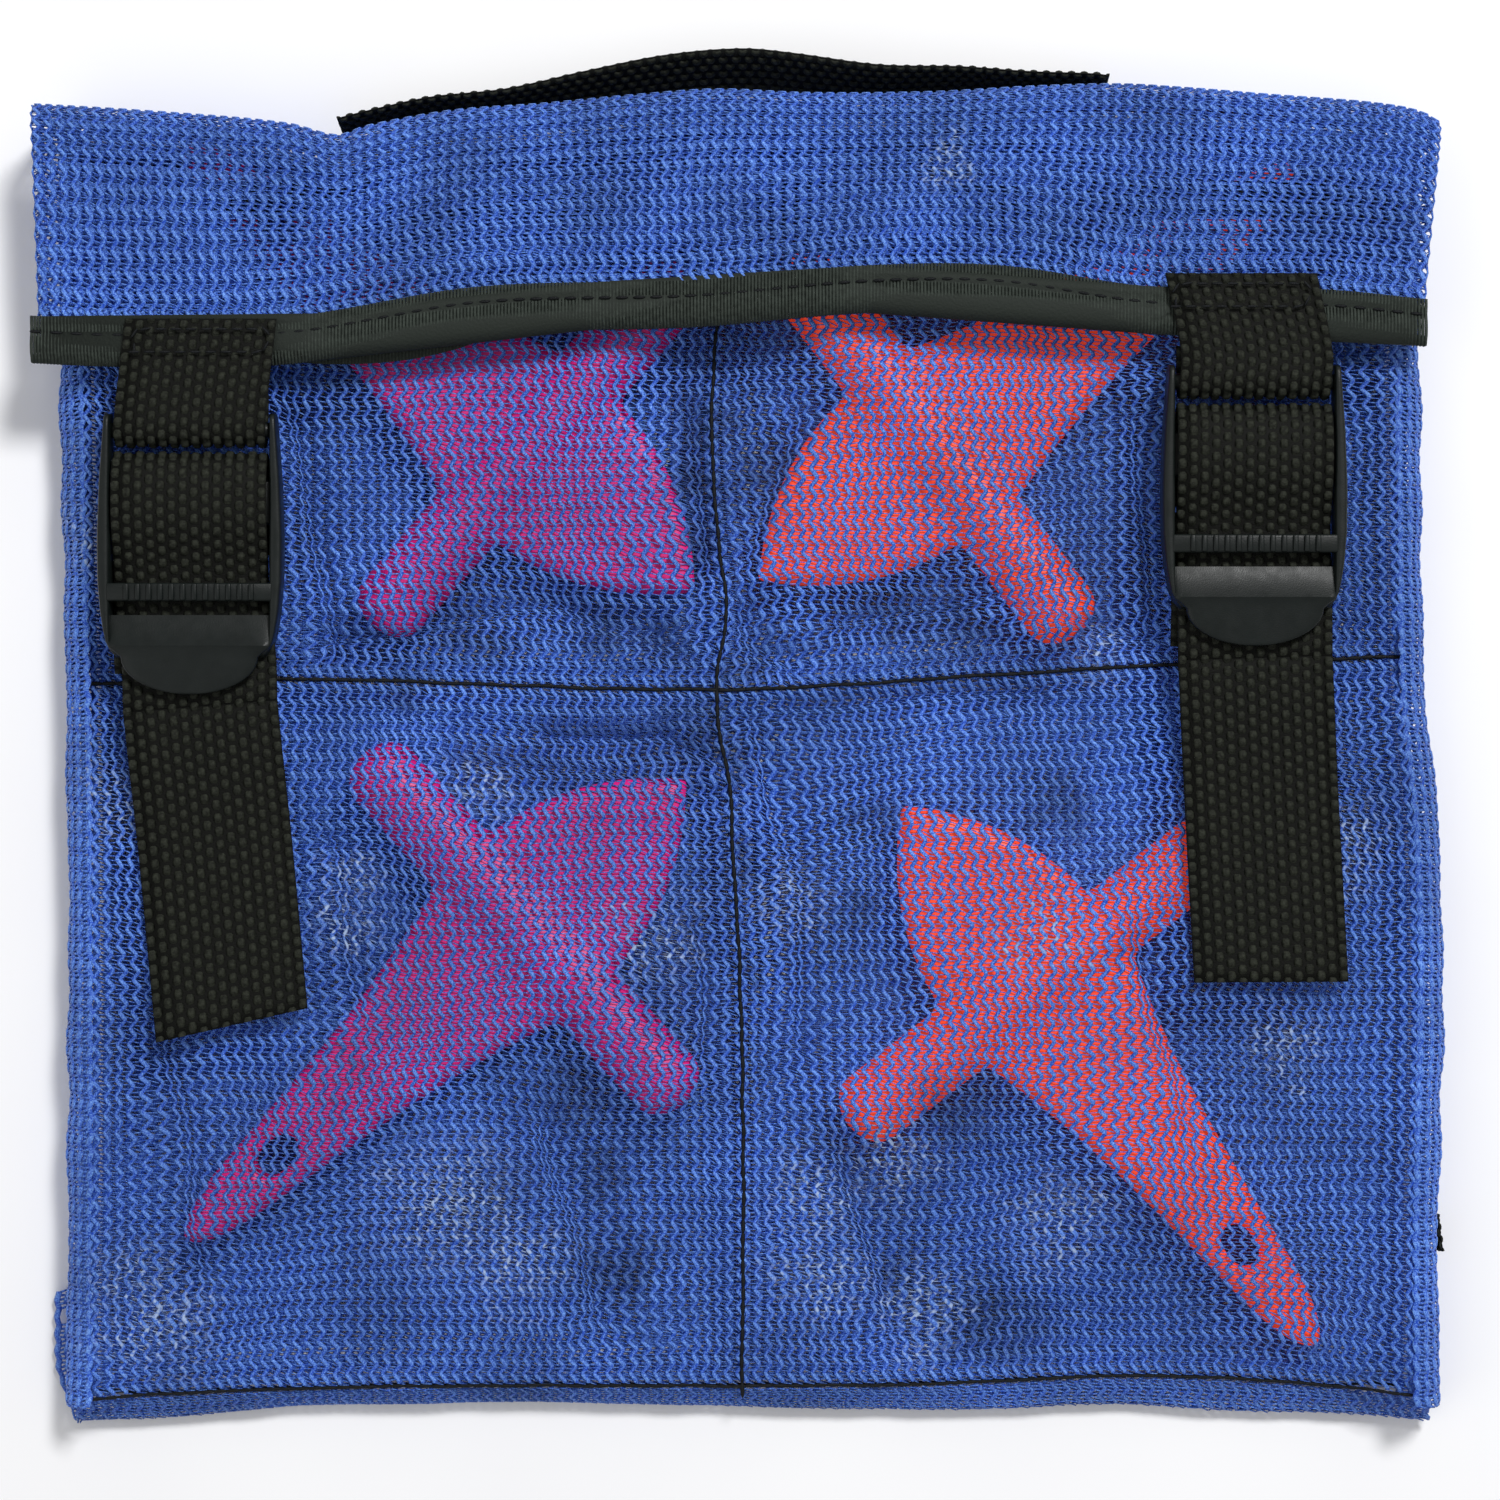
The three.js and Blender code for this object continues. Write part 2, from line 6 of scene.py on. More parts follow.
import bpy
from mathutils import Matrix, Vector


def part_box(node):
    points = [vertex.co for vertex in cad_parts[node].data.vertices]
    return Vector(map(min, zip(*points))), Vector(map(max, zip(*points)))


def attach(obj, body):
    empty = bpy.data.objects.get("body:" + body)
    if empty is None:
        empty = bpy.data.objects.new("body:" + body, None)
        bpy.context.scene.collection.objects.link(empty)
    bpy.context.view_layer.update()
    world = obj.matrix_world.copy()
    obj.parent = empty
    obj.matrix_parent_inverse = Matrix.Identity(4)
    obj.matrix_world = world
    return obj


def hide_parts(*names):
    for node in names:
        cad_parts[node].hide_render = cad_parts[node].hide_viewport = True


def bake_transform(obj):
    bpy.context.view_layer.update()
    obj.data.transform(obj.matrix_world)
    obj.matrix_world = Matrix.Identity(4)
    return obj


bl_info = {
    "name": "Mesh Ball Bag",
    "version": (1, 0, 0),
    "blender": (4, 5, 0),
    "location": "View3D > Sidebar > Ball Bag",
    "description": "Builds a flat mesh ball bag with buckled flap, straps, handle and throwing toys",
    "category": "Object",
}

import math

import bmesh
import bpy
import numpy as np
from bpy.props import FloatProperty, FloatVectorProperty, IntProperty, PointerProperty
from mathutils import Matrix, Vector
from mathutils.bvhtree import BVHTree

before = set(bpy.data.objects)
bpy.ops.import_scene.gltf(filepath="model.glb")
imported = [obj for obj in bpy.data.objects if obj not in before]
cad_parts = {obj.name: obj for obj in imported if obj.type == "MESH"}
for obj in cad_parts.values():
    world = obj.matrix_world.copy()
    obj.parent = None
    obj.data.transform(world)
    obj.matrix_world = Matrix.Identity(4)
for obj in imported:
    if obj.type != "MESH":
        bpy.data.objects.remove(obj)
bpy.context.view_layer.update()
MM = 0.001


# ---- Lines and levels of the bag, in millimetres ----


def through(at, values, position):
    """Reads a smooth curve at a position: values has one number, or one array, for each place in at."""
    p = np.clip(position, at[0], at[-1])
    i = np.clip(np.searchsorted(at, p) - 1, 0, len(at) - 2)
    stack = np.stack([np.broadcast_to(value, np.shape(p)) for value in values])

    def near(k):
        index = np.clip(i + k, 0, len(at) - 1)
        return at[index], np.take_along_axis(stack, index[None], 0)[0]

    (x0, y0), (x1, y1), (x2, y2), (x3, y3) = [near(k) for k in (-1, 0, 1, 2)]
    span = x2 - x1
    t = (p - x1) / span
    blend = t * t * (3 - 2 * t)
    bend = (1 - t) * (y2 - y0) / (x2 - x0) - t * (y3 - y1) / (x3 - x1)
    return y1 * (1 - blend) + y2 * blend + t * (1 - t) * span * bend


def line(*points):
    """A smooth line through (position, value) points, as a function of position."""
    at, values = np.array(points, float).T
    return lambda position: through(at, values, position)


LEFT_EDGE = line((-111, -109.2), (-20, -109), (60, -110.4), (103, -110.8))
RIGHT_EDGE = line((-111, 112.8), (-79, 112.6), (-40, 113.4), (-15, 112.8), (12, 110.4), (103, 109.6))
BOTTOM_EDGE = line((-110, -110.7), (-58, -107.6), (26, -108.6), (60, -107.8), (114, -110.7))
CENTRE_SEAM = line((-105, 0.2), (-9, -1.1), (23, -3), (64, -4), (103, -2))
CROSS_SEAM = line((-110, 9.8), (-72, 10.8), (-4, 9.2), (41, 11.6), (70, 13.2), (114, 14.6))
BOTTOM_SEAM = line((-110, -105.2), (-60, -103.4), (25, -103), (68, -101.6), (114, -104.6))
HEM_TOP = line(
    (-113, 68.4), (-99, 67.8), (-72, 68.2), (-42, 73), (-7, 74.1),
    (20, 76.4), (41, 76.4), (65, 73), (92, 72.6), (109, 71),
)
# Lower edge of the binding's inner fold, where it shows below the outer one beside the left strap.
INNER_FOLD = line((-74, 61.6), (-66, 60.9), (-55, 61.4), (-46, 63.2), (-37, 66.4))
FLAP_LEFT = line((60, -112.6), (102, -114))
FLAP_RIGHT = line((60, 108.6), (102, 112.4))
FOLD_TOP = line(
    (-114, 102.4), (-92, 101), (-72, 99.2), (-64.3, 97.4), (-59, 98.8), (-46, 101.2), (-31, 102.4),
    (-16, 103.8), (-4, 104.6), (10, 104), (30, 104.2), (45, 105), (59, 105.4), (68, 105), (85, 103.7),
    (100, 102.4), (108, 101), (112, 98.8),
)
HANDLE_TOP = line(
    (-65.5, 101.2), (-60, 102.6), (-50, 104.8), (-38, 106.1), (-25, 109), (-12, 111.6), (0, 112.6),
    (8, 111.9), (22, 110), (35, 109.7), (46, 108.9), (57, 108.5), (59, 108.2),
)

# Creases in the front cloth: the line's points, its half width and its height, below zero for a valley.
CREASES = (
    (((-31, 1.5), (-13, 0.4), (-3.4, -3)), 1.9, -3.1),
    (((-46, -3), (-22.7, -4.6), (-5.5, -8)), 2.1, -2.6),
    (((-52, 7), (-28, 4.6), (-8, 5)), 2.2, 1.4),
    (((-0.5, 19), (2, 14.5), (7, 12)), 3.2, -3.1),
    (((1.5, 3.5), (4.2, -5)), 2.2, -2.6),
    (((8, 5), (30, 8.4), (48, 8)), 2.2, -1.7),
    (((-8.6, 53), (-6.2, 30)), 2.2, -2.2),
    (((0.8, 30), (9.3, 53)), 2.4, -2.3),
    (((3.4, -6), (9.3, -24.6), (9.3, -48.6)), 2.8, -2.2),
    (((14, -4), (18, -25)), 3.6, 1.4),
    (((-66, 17), (-29, 22.5), (-14, 17)), 2.8, -2.1),
    (((16, 19), (40, 24), (64, 17)), 2.8, -2.0),
    (((-8, -30), (-6.4, -49)), 1.9, -2.1),
    (((-33, -63), (-23, -90)), 4.2, -2.0),
    (((-17, -66), (-13, -94)), 3.4, 1.3),
    (((15, -66), (25, -94)), 3.6, -1.8),
    (((-72, 52), (-66, 17)), 2.8, -1.8),
    (((-66, -16), (-62, -44)), 2.4, -1.6),
    (((62, 52), (66, 24)), 2.8, -1.7),
    (((62, -30), (70, -60)), 3.4, -1.6),
    (((-92, -50), (-88, -84)), 3.6, -1.3),
)
# How far the centre seam wanders to the right of its smooth course.
SEAM_SHIFT = line(
    (-105, -0.2), (-72, 0.4), (-40, 0.3), (-18, -0.5), (-5, -0.9), (0, -1.7), (7.4, -2.1),
    (13, -1.4), (22.6, 0.6), (30, -0.2), (44, -0.8), (55, -0.9), (64, -0.3), (75, 0),
)
# Spots where pale flecks of painted light are mixed into the knit's colour, for light that shows through
# cloth stretched open: across, up and radius.
PAINTED_LIGHT_SPOTS = (
    (-64, -28, 7), (-63, -20, 5), (-48, -74, 14), (-36, -84, 9), (-95, -93, 11), (12.5, -72, 8),
    (13, -86, 9), (25, -68, 8), (51, -76, 10), (9, -25, 6), (-103, 35, 8), (33, 92, 5), (-42, -5, 6),
    (96, -15, 8), (-97, -86, 9), (57, 15, 6), (30, -91, 8), (-101, -10, 7), (-15, -32, 9), (49, -31, 9),
    (22, -64, 6), (88, -48, 7), (82, -28, 6),
)
# Spots of painted shade, where the knit's colour is darkened for cloth bunched into a hollow that little
# light gets into: across, up and radius.
PAINTED_SHADE_SPOTS = (
    (1.3, 13.6, 6.5), (-3.2, -0.6, 6), (-7, 3, 6), (-13, 17, 7), (-23, 18, 6), (-6, 52, 6), (-6.7, 42, 6),
    (-6.7, 32, 5.5), (3, 47, 5), (20.5, -12, 6), (19, -25, 5), (2, -20, 4), (1.6, -36, 4), (-26, -56, 8),
    (-23, -70, 7), (-19, -84, 7), (35, -58, 8), (41, -93, 9), (23.7, -86, 5), (51, -10, 6), (-63, -50, 7),
    (-42, 17, 6), (-54, 9, 5), (25, 20, 5), (36, 19, 6),
)
# Strength of the glow painted on each rubber as emission of its own colour, brightening it beyond what the
# lamps give.
PAINTED_GLOW = {"magenta": 0.05, "red": 0.3}

# The rounded sides: how far they bulge, and the middle and half height of their section.
GUSSET_REACH, GUSSET_MIDDLE, GUSSET_RISE = 4.8, 6.05, 5.15
MOUTH_Y, TOP_Y = 84.0, 101.8
# Half the width of the flat strip that lies under each seam's stitches.
SEAM_FLAT = 1.2
# Height of the front cloth: on the seams, on the seams beside the straps, where it is full, and at the sides.
FRONT_SEAM, FRONT_STRAP_SEAM, FRONT_FULL, FRONT_EDGE = 6.0, 9.0, 12.2, 11.1
BACK_SEAM = 4.4
# The buckles' upper bars, which the fixed loops go round.
AXLE_Z, BAR_RADIUS, BAR_GAP = 16.2, 1.4, 0.3
STRAP_THICK = 1.3

# Each strap: where its buckle's upper bar, loop and tail are, and how the tail is turned, cut and set aside.
STRAPS = {
    "left": dict(x=-87.5, loop_x=-85.6, y=50.2, loop_top=67.7, tail_end=(-81.4, -44.6), turn=0.08,
                 seam_y=10.0, slant=3.6, aside=1.4),
    "right": dict(x=81.3, loop_x=79.0, y=57.9, loop_top=74.9, tail_end=(84.5, -37.7), turn=0.03,
                  seam_y=14.4, slant=-0.6, aside=0.3),
}
TOYS = {
    "toy_upper_left": "magenta", "toy_upper_right": "red",
    "toy_lower_left": "magenta", "toy_lower_right": "red",
}


def smooth(value, low, high):
    """Eases from 0 at low to 1 at high."""
    t = np.clip((value - low) / (high - low), 0, 1)
    return t * t * (3 - 2 * t)


def mix(a, b, t):
    return a + (b - a) * t


def centre_x(y):
    return CENTRE_SEAM(y) + SEAM_SHIFT(y)


def rise(distance, reach=48.0, power=20):
    """How much of its full rise the cloth has at a distance from a seam: 0 on the seam and 1 far from it."""
    away = np.clip((np.abs(distance) - SEAM_FLAT) / reach, 0, 1)
    return 1 - (1 - away) ** power


def fullness(x, y):
    """How far the stuffed bag stands off its seams at a point, from 0 on a seam to 1."""
    centre = mix(rise(x - centre_x(y)), 1, smooth(y, MOUTH_Y - 4, MOUTH_Y + 8))
    return centre * rise(y - CROSS_SEAM(x)) * rise(y - BOTTOM_SEAM(x))


def full_height(x, y):
    """Height of the front cloth where the bag is full."""
    under_straps = smooth(np.abs(x), 40, 78) * smooth(y, -20, 0)
    seam = mix(FRONT_SEAM, FRONT_STRAP_SEAM, under_straps)
    sides = smooth(np.abs(x), 96, 106)
    full = fullness(x, y)
    return mix(seam, FRONT_FULL, full) * (1 - sides) + mix(FRONT_STRAP_SEAM, FRONT_EDGE, full) * sides


def back_height(x, y):
    """Height of the back cloth, which the seams lift off the ground."""
    return 0.45 + BACK_SEAM * (1 - fullness(x, y)) * (1 - smooth(np.abs(x), 96, 105))


# ---- Settings ----


def srgb(code):
    """Linear colour of an sRGB hex value."""
    parts = [int(code[i : i + 2], 16) / 255 for i in (1, 3, 5)]
    return tuple(c / 12.92 if c <= 0.04045 else ((c + 0.055) / 1.055) ** 2.4 for c in parts)


def length(name, description, millimetres):
    return FloatProperty(
        name=name, description=description, default=millimetres * MM,
        unit="LENGTH", subtype="DISTANCE", precision=5,
    )


def colour(name, description, code):
    return FloatVectorProperty(
        name=name, description=description, default=srgb(code), size=3, subtype="COLOR", min=0, max=1
    )


class BALLBAG_PG_knit(bpy.types.PropertyGroup):
    """Gauge and yarn of the warp-knit mesh"""

    wale: length("Wale Spacing", "Distance between neighbouring zigzag wales", 1.96)
    period: length("Zigzag Length", "Length of one zigzag along a wale", 2.8)
    swing: length("Zigzag Swing", "Sideways travel of a wale from corner to corner", 0.85)
    yarn_width: length("Wale Width", "Width of a wale's bundle of yarn", 0.76)
    yarn_thick: length("Wale Thickness", "Thickness of a wale's bundle of yarn", 0.44)
    link: length("Link Radius", "Radius of the thin threads that join two wales", 0.1)
    blue: colour("Yarn", "Dyed polyester yarn", "#0C3EAE")
    # Colour of the painted highlight that the long floats and the glints are mixed towards.
    pale: colour("Yarn Highlight", "Long floats of the yarn, which catch the light", "#78A8F0")
    # Colour of the pale flecks of painted light.
    painted_light_fleck: colour("Fleck", "Light that shows where the cloth is stretched open", "#9FB4D8")


class BALLBAG_PG_webbing(bpy.types.PropertyGroup):
    """Straps, tape and thread"""

    width: length("Webbing Width", "Width of the straps", 25)
    columns: IntProperty(name="Warp Columns", description="Warp yarns across the webbing", default=14, min=4)
    row: length("Row Spacing", "Distance between two rises of one warp yarn", 2.1)
    rib: length("Rib Spacing", "Distance between two ribs of the grosgrain tape", 0.54)
    black: colour("Webbing", "Black webbing, in the dips of the weave", "#0A0B08")
    # Colour of the painted highlight on the tops of the webbing's yarns, with an olive cast.
    yarn_top_highlight: colour("Webbing Highlight", "Tops of the webbing's yarns, with an olive cast", "#2C2F27")
    tape: colour("Tape", "Charcoal grosgrain tape", "#262B27")
    thread: colour("Thread", "Sewing thread", "#0E1012")


class BALLBAG_PG_moulded(bpy.types.PropertyGroup):
    """Moulded buckles and toys"""

    buckle: colour("Buckle", "Moulded acetal", "#101514")
    magenta: colour("Left Toys", "Moulded rubber of the left pockets' toys", "#E0187E")
    red: colour("Right Toys", "Moulded rubber of the right pockets' toys", "#FF4A26")


# ---- Node and mesh tools ----


def add(tree, kind, given=(), /, **settings):
    """Adds a node with its settings and its inputs, each a value, a socket, or a node's first output."""
    made = tree.nodes.new(kind)
    for name, value in settings.items():
        setattr(made, name, value)
    for socket, value in dict(given).items():
        if isinstance(value, bpy.types.Node):
            value = value.outputs[0]
        if isinstance(value, bpy.types.NodeSocket):
            tree.links.new(value, made.inputs[socket])
        else:
            made.inputs[socket].default_value = value
    return made


def new_tree(name, *sockets):
    """A Geometry Nodes tree with named inputs. Returns the tree and its inputs by name."""
    tree = bpy.data.node_groups.new(name, "GeometryNodeTree")
    face = tree.interface
    face.new_socket(name="Geometry", in_out="INPUT", socket_type="NodeSocketGeometry")
    for label, kind in sockets:
        face.new_socket(name=label, in_out="INPUT", socket_type="NodeSocket" + kind)
    face.new_socket(name="Material", in_out="INPUT", socket_type="NodeSocketMaterial")
    face.new_socket(name="Geometry", in_out="OUTPUT", socket_type="NodeSocketGeometry")
    return tree, add(tree, "NodeGroupInput").outputs


def finish_tree(tree, given, geometry, on_cloth=True):
    """Lays a flat pattern on the cloth by its UV map, then realises it and gives it its material."""
    if on_cloth:
        flat = add(tree, "ShaderNodeSeparateXYZ", {0: add(tree, "GeometryNodeInputPosition")})
        # Just inside the map's edges, where the cloth is always found.
        low, high = 0.0005, 0.9995
        across = add(tree, "ShaderNodeMapRange", {0: flat.outputs[0], 2: given["Width"], 3: low, 4: high})
        along = add(tree, "ShaderNodeMapRange", {0: flat.outputs[1], 2: given["Length"], 3: low, 4: high})
        place = add(tree, "ShaderNodeCombineXYZ", {0: across, 1: along})
        cloth = add(tree, "GeometryNodeInputNamedAttribute", {0: "cloth"}, data_type="FLOAT_VECTOR")
        found = [
            add(tree, "GeometryNodeSampleUVSurface",
                {0: given["Geometry"], 1: add(tree, kind), 2: cloth, 3: place}, data_type="FLOAT_VECTOR")
            for kind in ("GeometryNodeInputPosition", "GeometryNodeInputNormal")
        ]
        lift = add(tree, "ShaderNodeVectorMath", {0: found[1], 3: flat.outputs[2]}, operation="SCALE")
        spot = add(tree, "ShaderNodeVectorMath", {0: found[0], 1: lift}, operation="ADD")
        geometry = add(tree, "GeometryNodeSetPosition", {0: geometry, 2: spot})
    real = add(tree, "GeometryNodeRealizeInstances", {0: geometry})
    soft = add(tree, "GeometryNodeSetShadeSmooth", {0: real, 2: True})
    done = add(tree, "GeometryNodeSetMaterial", {0: soft, 2: given["Material"]})
    add(tree, "NodeGroupOutput", {0: done})
    return tree


def run_tree(name, base, tree, values):
    """Evaluates a tree on a base mesh and keeps its result as a plain mesh object."""
    carrier = bpy.data.objects.new(name + "_base", base)
    bpy.context.scene.collection.objects.link(carrier)
    modifier = carrier.modifiers.new("Lay", "NODES")
    modifier.node_group = tree
    sockets = {s.name: s.identifier for s in tree.interface.items_tree if s.in_out == "INPUT"}
    for label, value in values.items():
        modifier[sockets[label]] = value
    ready = carrier.evaluated_get(bpy.context.evaluated_depsgraph_get())
    mesh = bpy.data.meshes.new_from_object(ready)
    bpy.data.objects.remove(carrier)
    bpy.data.meshes.remove(base)
    mesh.name = name
    return show(name, mesh)


def show(name, mesh):
    made = bpy.data.objects.new(name, mesh)
    bpy.context.scene.collection.objects.link(made)
    return made


def mesh_of(name, points, faces):
    mesh = bpy.data.meshes.new(name)
    mesh.from_pydata(np.asarray(points, float).reshape(-1, 3).tolist(), [], np.asarray(faces).tolist())
    mesh.polygons.foreach_set("use_smooth", [True] * len(mesh.polygons))
    mesh.update()
    return mesh


def grid_mesh(name, points, flip=False):
    """A sheet of quads over rows of points in millimetres, with a UV map that runs from 0 to 1 both ways."""
    rows, columns = points.shape[:2]
    index = np.arange(rows * columns).reshape(rows, columns)
    quads = np.stack([index[:-1, :-1], index[:-1, 1:], index[1:, 1:], index[1:, :-1]], -1).reshape(-1, 4)
    if flip:
        quads = quads[:, ::-1]
    mesh = mesh_of(name, points * MM, quads)
    flat = np.stack(np.meshgrid(np.linspace(0, 1, columns), np.linspace(0, 1, rows)), -1).reshape(-1, 2)
    layer = mesh.uv_layers.new(name="cloth")
    layer.data.foreach_set("uv", flat[quads.ravel()].ravel().astype(np.float32))
    return mesh


def spread_of(points):
    """Width and length of a sheet of points, along its middle lines, in metres."""
    rows, columns = points.shape[:2]
    across = np.linalg.norm(np.diff(points[rows // 2], axis=0), axis=1).sum()
    along = np.linalg.norm(np.diff(points[:, columns // 2], axis=0), axis=1).sum()
    return float(across * MM), float(along * MM)


# ---- Geometry Nodes trees ----


def knit_tree():
    """Warp knit: parallel zigzag wales joined by thin slanting threads, four to a zigzag."""
    tree, given = new_tree(
        "Warp knit", ("Width", "Float"), ("Length", "Float"), ("Wales", "Int"), ("Zigzags", "Int"),
        ("Swing", "Float"), ("Yarn Width", "Float"), ("Yarn Thickness", "Float"), ("Link Radius", "Float"),
        ("Sides", "Int"),
    )
    step = add(tree, "ShaderNodeMath", {0: given["Width"], 1: given["Wales"]}, operation="DIVIDE")
    period = add(tree, "ShaderNodeMath", {0: given["Length"], 1: given["Zigzags"]}, operation="DIVIDE")
    half = add(tree, "ShaderNodeMath", {0: given["Swing"], 1: 0.5}, operation="MULTIPLY")
    lost = add(tree, "ShaderNodeMath", {0: given["Swing"], 1: -1.0}, operation="MULTIPLY")

    # One wale: each corner of the zigzag is a pair of points, numbered along the line.
    number = add(tree, "GeometryNodeInputIndex")
    halved = add(tree, "ShaderNodeMath", {0: number, 1: 0.5}, operation="MULTIPLY")
    corner = add(tree, "ShaderNodeMath", {0: halved}, operation="FLOOR")
    second = add(tree, "ShaderNodeMath", {0: number, 1: 2.0}, operation="MODULO")
    side = add(tree, "ShaderNodeMath", {0: corner, 1: 2.0}, operation="MODULO")
    across = add(tree, "ShaderNodeMath", {0: side, 1: lost, 2: half}, operation="MULTIPLY_ADD")
    nudge = add(tree, "ShaderNodeMath", {0: second, 1: 0.13, 2: 0.185}, operation="MULTIPLY_ADD")
    turns = add(tree, "ShaderNodeMath", {0: corner, 1: 0.5, 2: nudge}, operation="MULTIPLY_ADD")
    along = add(tree, "ShaderNodeMath", {0: turns, 1: period}, operation="MULTIPLY")
    leg = add(tree, "ShaderNodeMath", {0: second, 1: side}, operation="SUBTRACT")
    float_yarn = add(tree, "ShaderNodeMath", {0: leg}, operation="ABSOLUTE")
    lift = add(tree, "ShaderNodeMath", {0: float_yarn, 1: 0.14 * MM}, operation="MULTIPLY")
    count = add(tree, "ShaderNodeMath", {0: given["Zigzags"], 1: 4.0}, operation="MULTIPLY")
    path = add(tree, "GeometryNodeCurvePrimitiveLine", {0: (0, 0, 0), 1: (0, 1, 0)})
    path = add(tree, "GeometryNodeResampleCurve", {"Curve": path, "Count": count})
    bent = add(tree, "GeometryNodeSetPosition",
               {0: path, 2: add(tree, "ShaderNodeCombineXYZ", {0: across, 1: along, 2: lift})})
    marked = add(tree, "GeometryNodeStoreNamedAttribute",
                 {"Geometry": bent, "Name": "float_yarn", "Value": float_yarn},
                 data_type="FLOAT", domain="POINT")
    first = add(tree, "ShaderNodeMath", {0: step, 1: 0.5}, operation="MULTIPLY")
    stations = add(tree, "GeometryNodeMeshLine", {
        "Count": given["Wales"], "Start Location": add(tree, "ShaderNodeCombineXYZ", {0: first}),
        "Offset": add(tree, "ShaderNodeCombineXYZ", {0: step})})
    wales = add(tree, "GeometryNodeInstanceOnPoints", {"Points": stations, "Instance": marked})
    wales = add(tree, "GeometryNodeRealizeInstances", {0: wales})
    wales = add(tree, "GeometryNodeSetCurveNormal", {0: wales}, mode="Z_UP")
    ring = add(tree, "GeometryNodeCurvePrimitiveCircle", {"Resolution": given["Sides"], "Radius": 0.5})
    section = add(tree, "GeometryNodeTransform", {"Geometry": ring, "Scale": add(
        tree, "ShaderNodeCombineXYZ", {0: given["Yarn Width"], 1: given["Yarn Thickness"], 2: 1.0})})
    strands = add(tree, "GeometryNodeCurveToMesh",
                  {"Curve": wales, "Profile Curve": section, "Fill Caps": True})

    # The joining threads: points in columns between the wales, each shifted with the zigzag.
    row = add(tree, "ShaderNodeMath", {0: number, 1: count}, operation="MODULO")
    column = add(tree, "ShaderNodeMath", {0: number, 1: count}, operation="DIVIDE")
    column = add(tree, "ShaderNodeMath", {0: column}, operation="FLOOR")
    pair = add(tree, "ShaderNodeMath", {0: row, 1: 0.5}, operation="MULTIPLY")
    pair = add(tree, "ShaderNodeMath", {0: pair}, operation="FLOOR")
    pair = add(tree, "ShaderNodeMath", {0: pair, 1: 2.0}, operation="MODULO")
    swing = add(tree, "ShaderNodeMath", {0: pair, 1: lost, 2: half}, operation="MULTIPLY_ADD")
    swing = add(tree, "ShaderNodeMath", {0: swing, 1: 0.5}, operation="MULTIPLY")
    edge = add(tree, "ShaderNodeMath", {0: column, 1: step, 2: step}, operation="MULTIPLY_ADD")
    link_x = add(tree, "ShaderNodeMath", {0: edge, 1: swing}, operation="ADD")
    link_y = add(tree, "ShaderNodeMath", {0: row, 1: 0.5}, operation="ADD")
    link_y = add(tree, "ShaderNodeMath", {0: link_y, 1: period}, operation="MULTIPLY")
    link_y = add(tree, "ShaderNodeMath", {0: link_y, 1: 0.25}, operation="MULTIPLY")
    gaps = add(tree, "ShaderNodeMath", {0: given["Wales"], 1: 1.0}, operation="SUBTRACT")
    total = add(tree, "ShaderNodeMath", {0: gaps, 1: count}, operation="MULTIPLY")
    spots = add(tree, "GeometryNodePoints",
                {"Count": total, "Position": add(tree, "ShaderNodeCombineXYZ", {0: link_x, 1: link_y})})
    reach = add(tree, "ShaderNodeMath", {0: step, 1: 0.8}, operation="MULTIPLY")
    rod = add(tree, "GeometryNodeMeshCylinder",
              {"Vertices": 3, "Radius": given["Link Radius"], "Depth": reach}, fill_type="NGON")
    rod = add(tree, "GeometryNodeTransform", {"Geometry": rod.outputs[0], "Rotation": (0, math.pi / 2, 0)})
    slants = add(tree, "FunctionNodeRandomValue", {"Min": (0, 0, -0.5), "Max": (0, 0, 0.1), "Seed": 7},
                 data_type="FLOAT_VECTOR")
    links = add(tree, "GeometryNodeInstanceOnPoints", {"Points": spots, "Instance": rod, "Rotation": slants})
    links = add(tree, "GeometryNodeRealizeInstances", {0: links})
    links = add(tree, "GeometryNodeStoreNamedAttribute",
                {"Geometry": links, "Name": "float_yarn", "Value": 0.55}, data_type="FLOAT", domain="POINT")
    both = add(tree, "GeometryNodeJoinGeometry", {0: strands})
    tree.links.new(links.outputs[0], both.inputs[0])
    return finish_tree(tree, given, both)


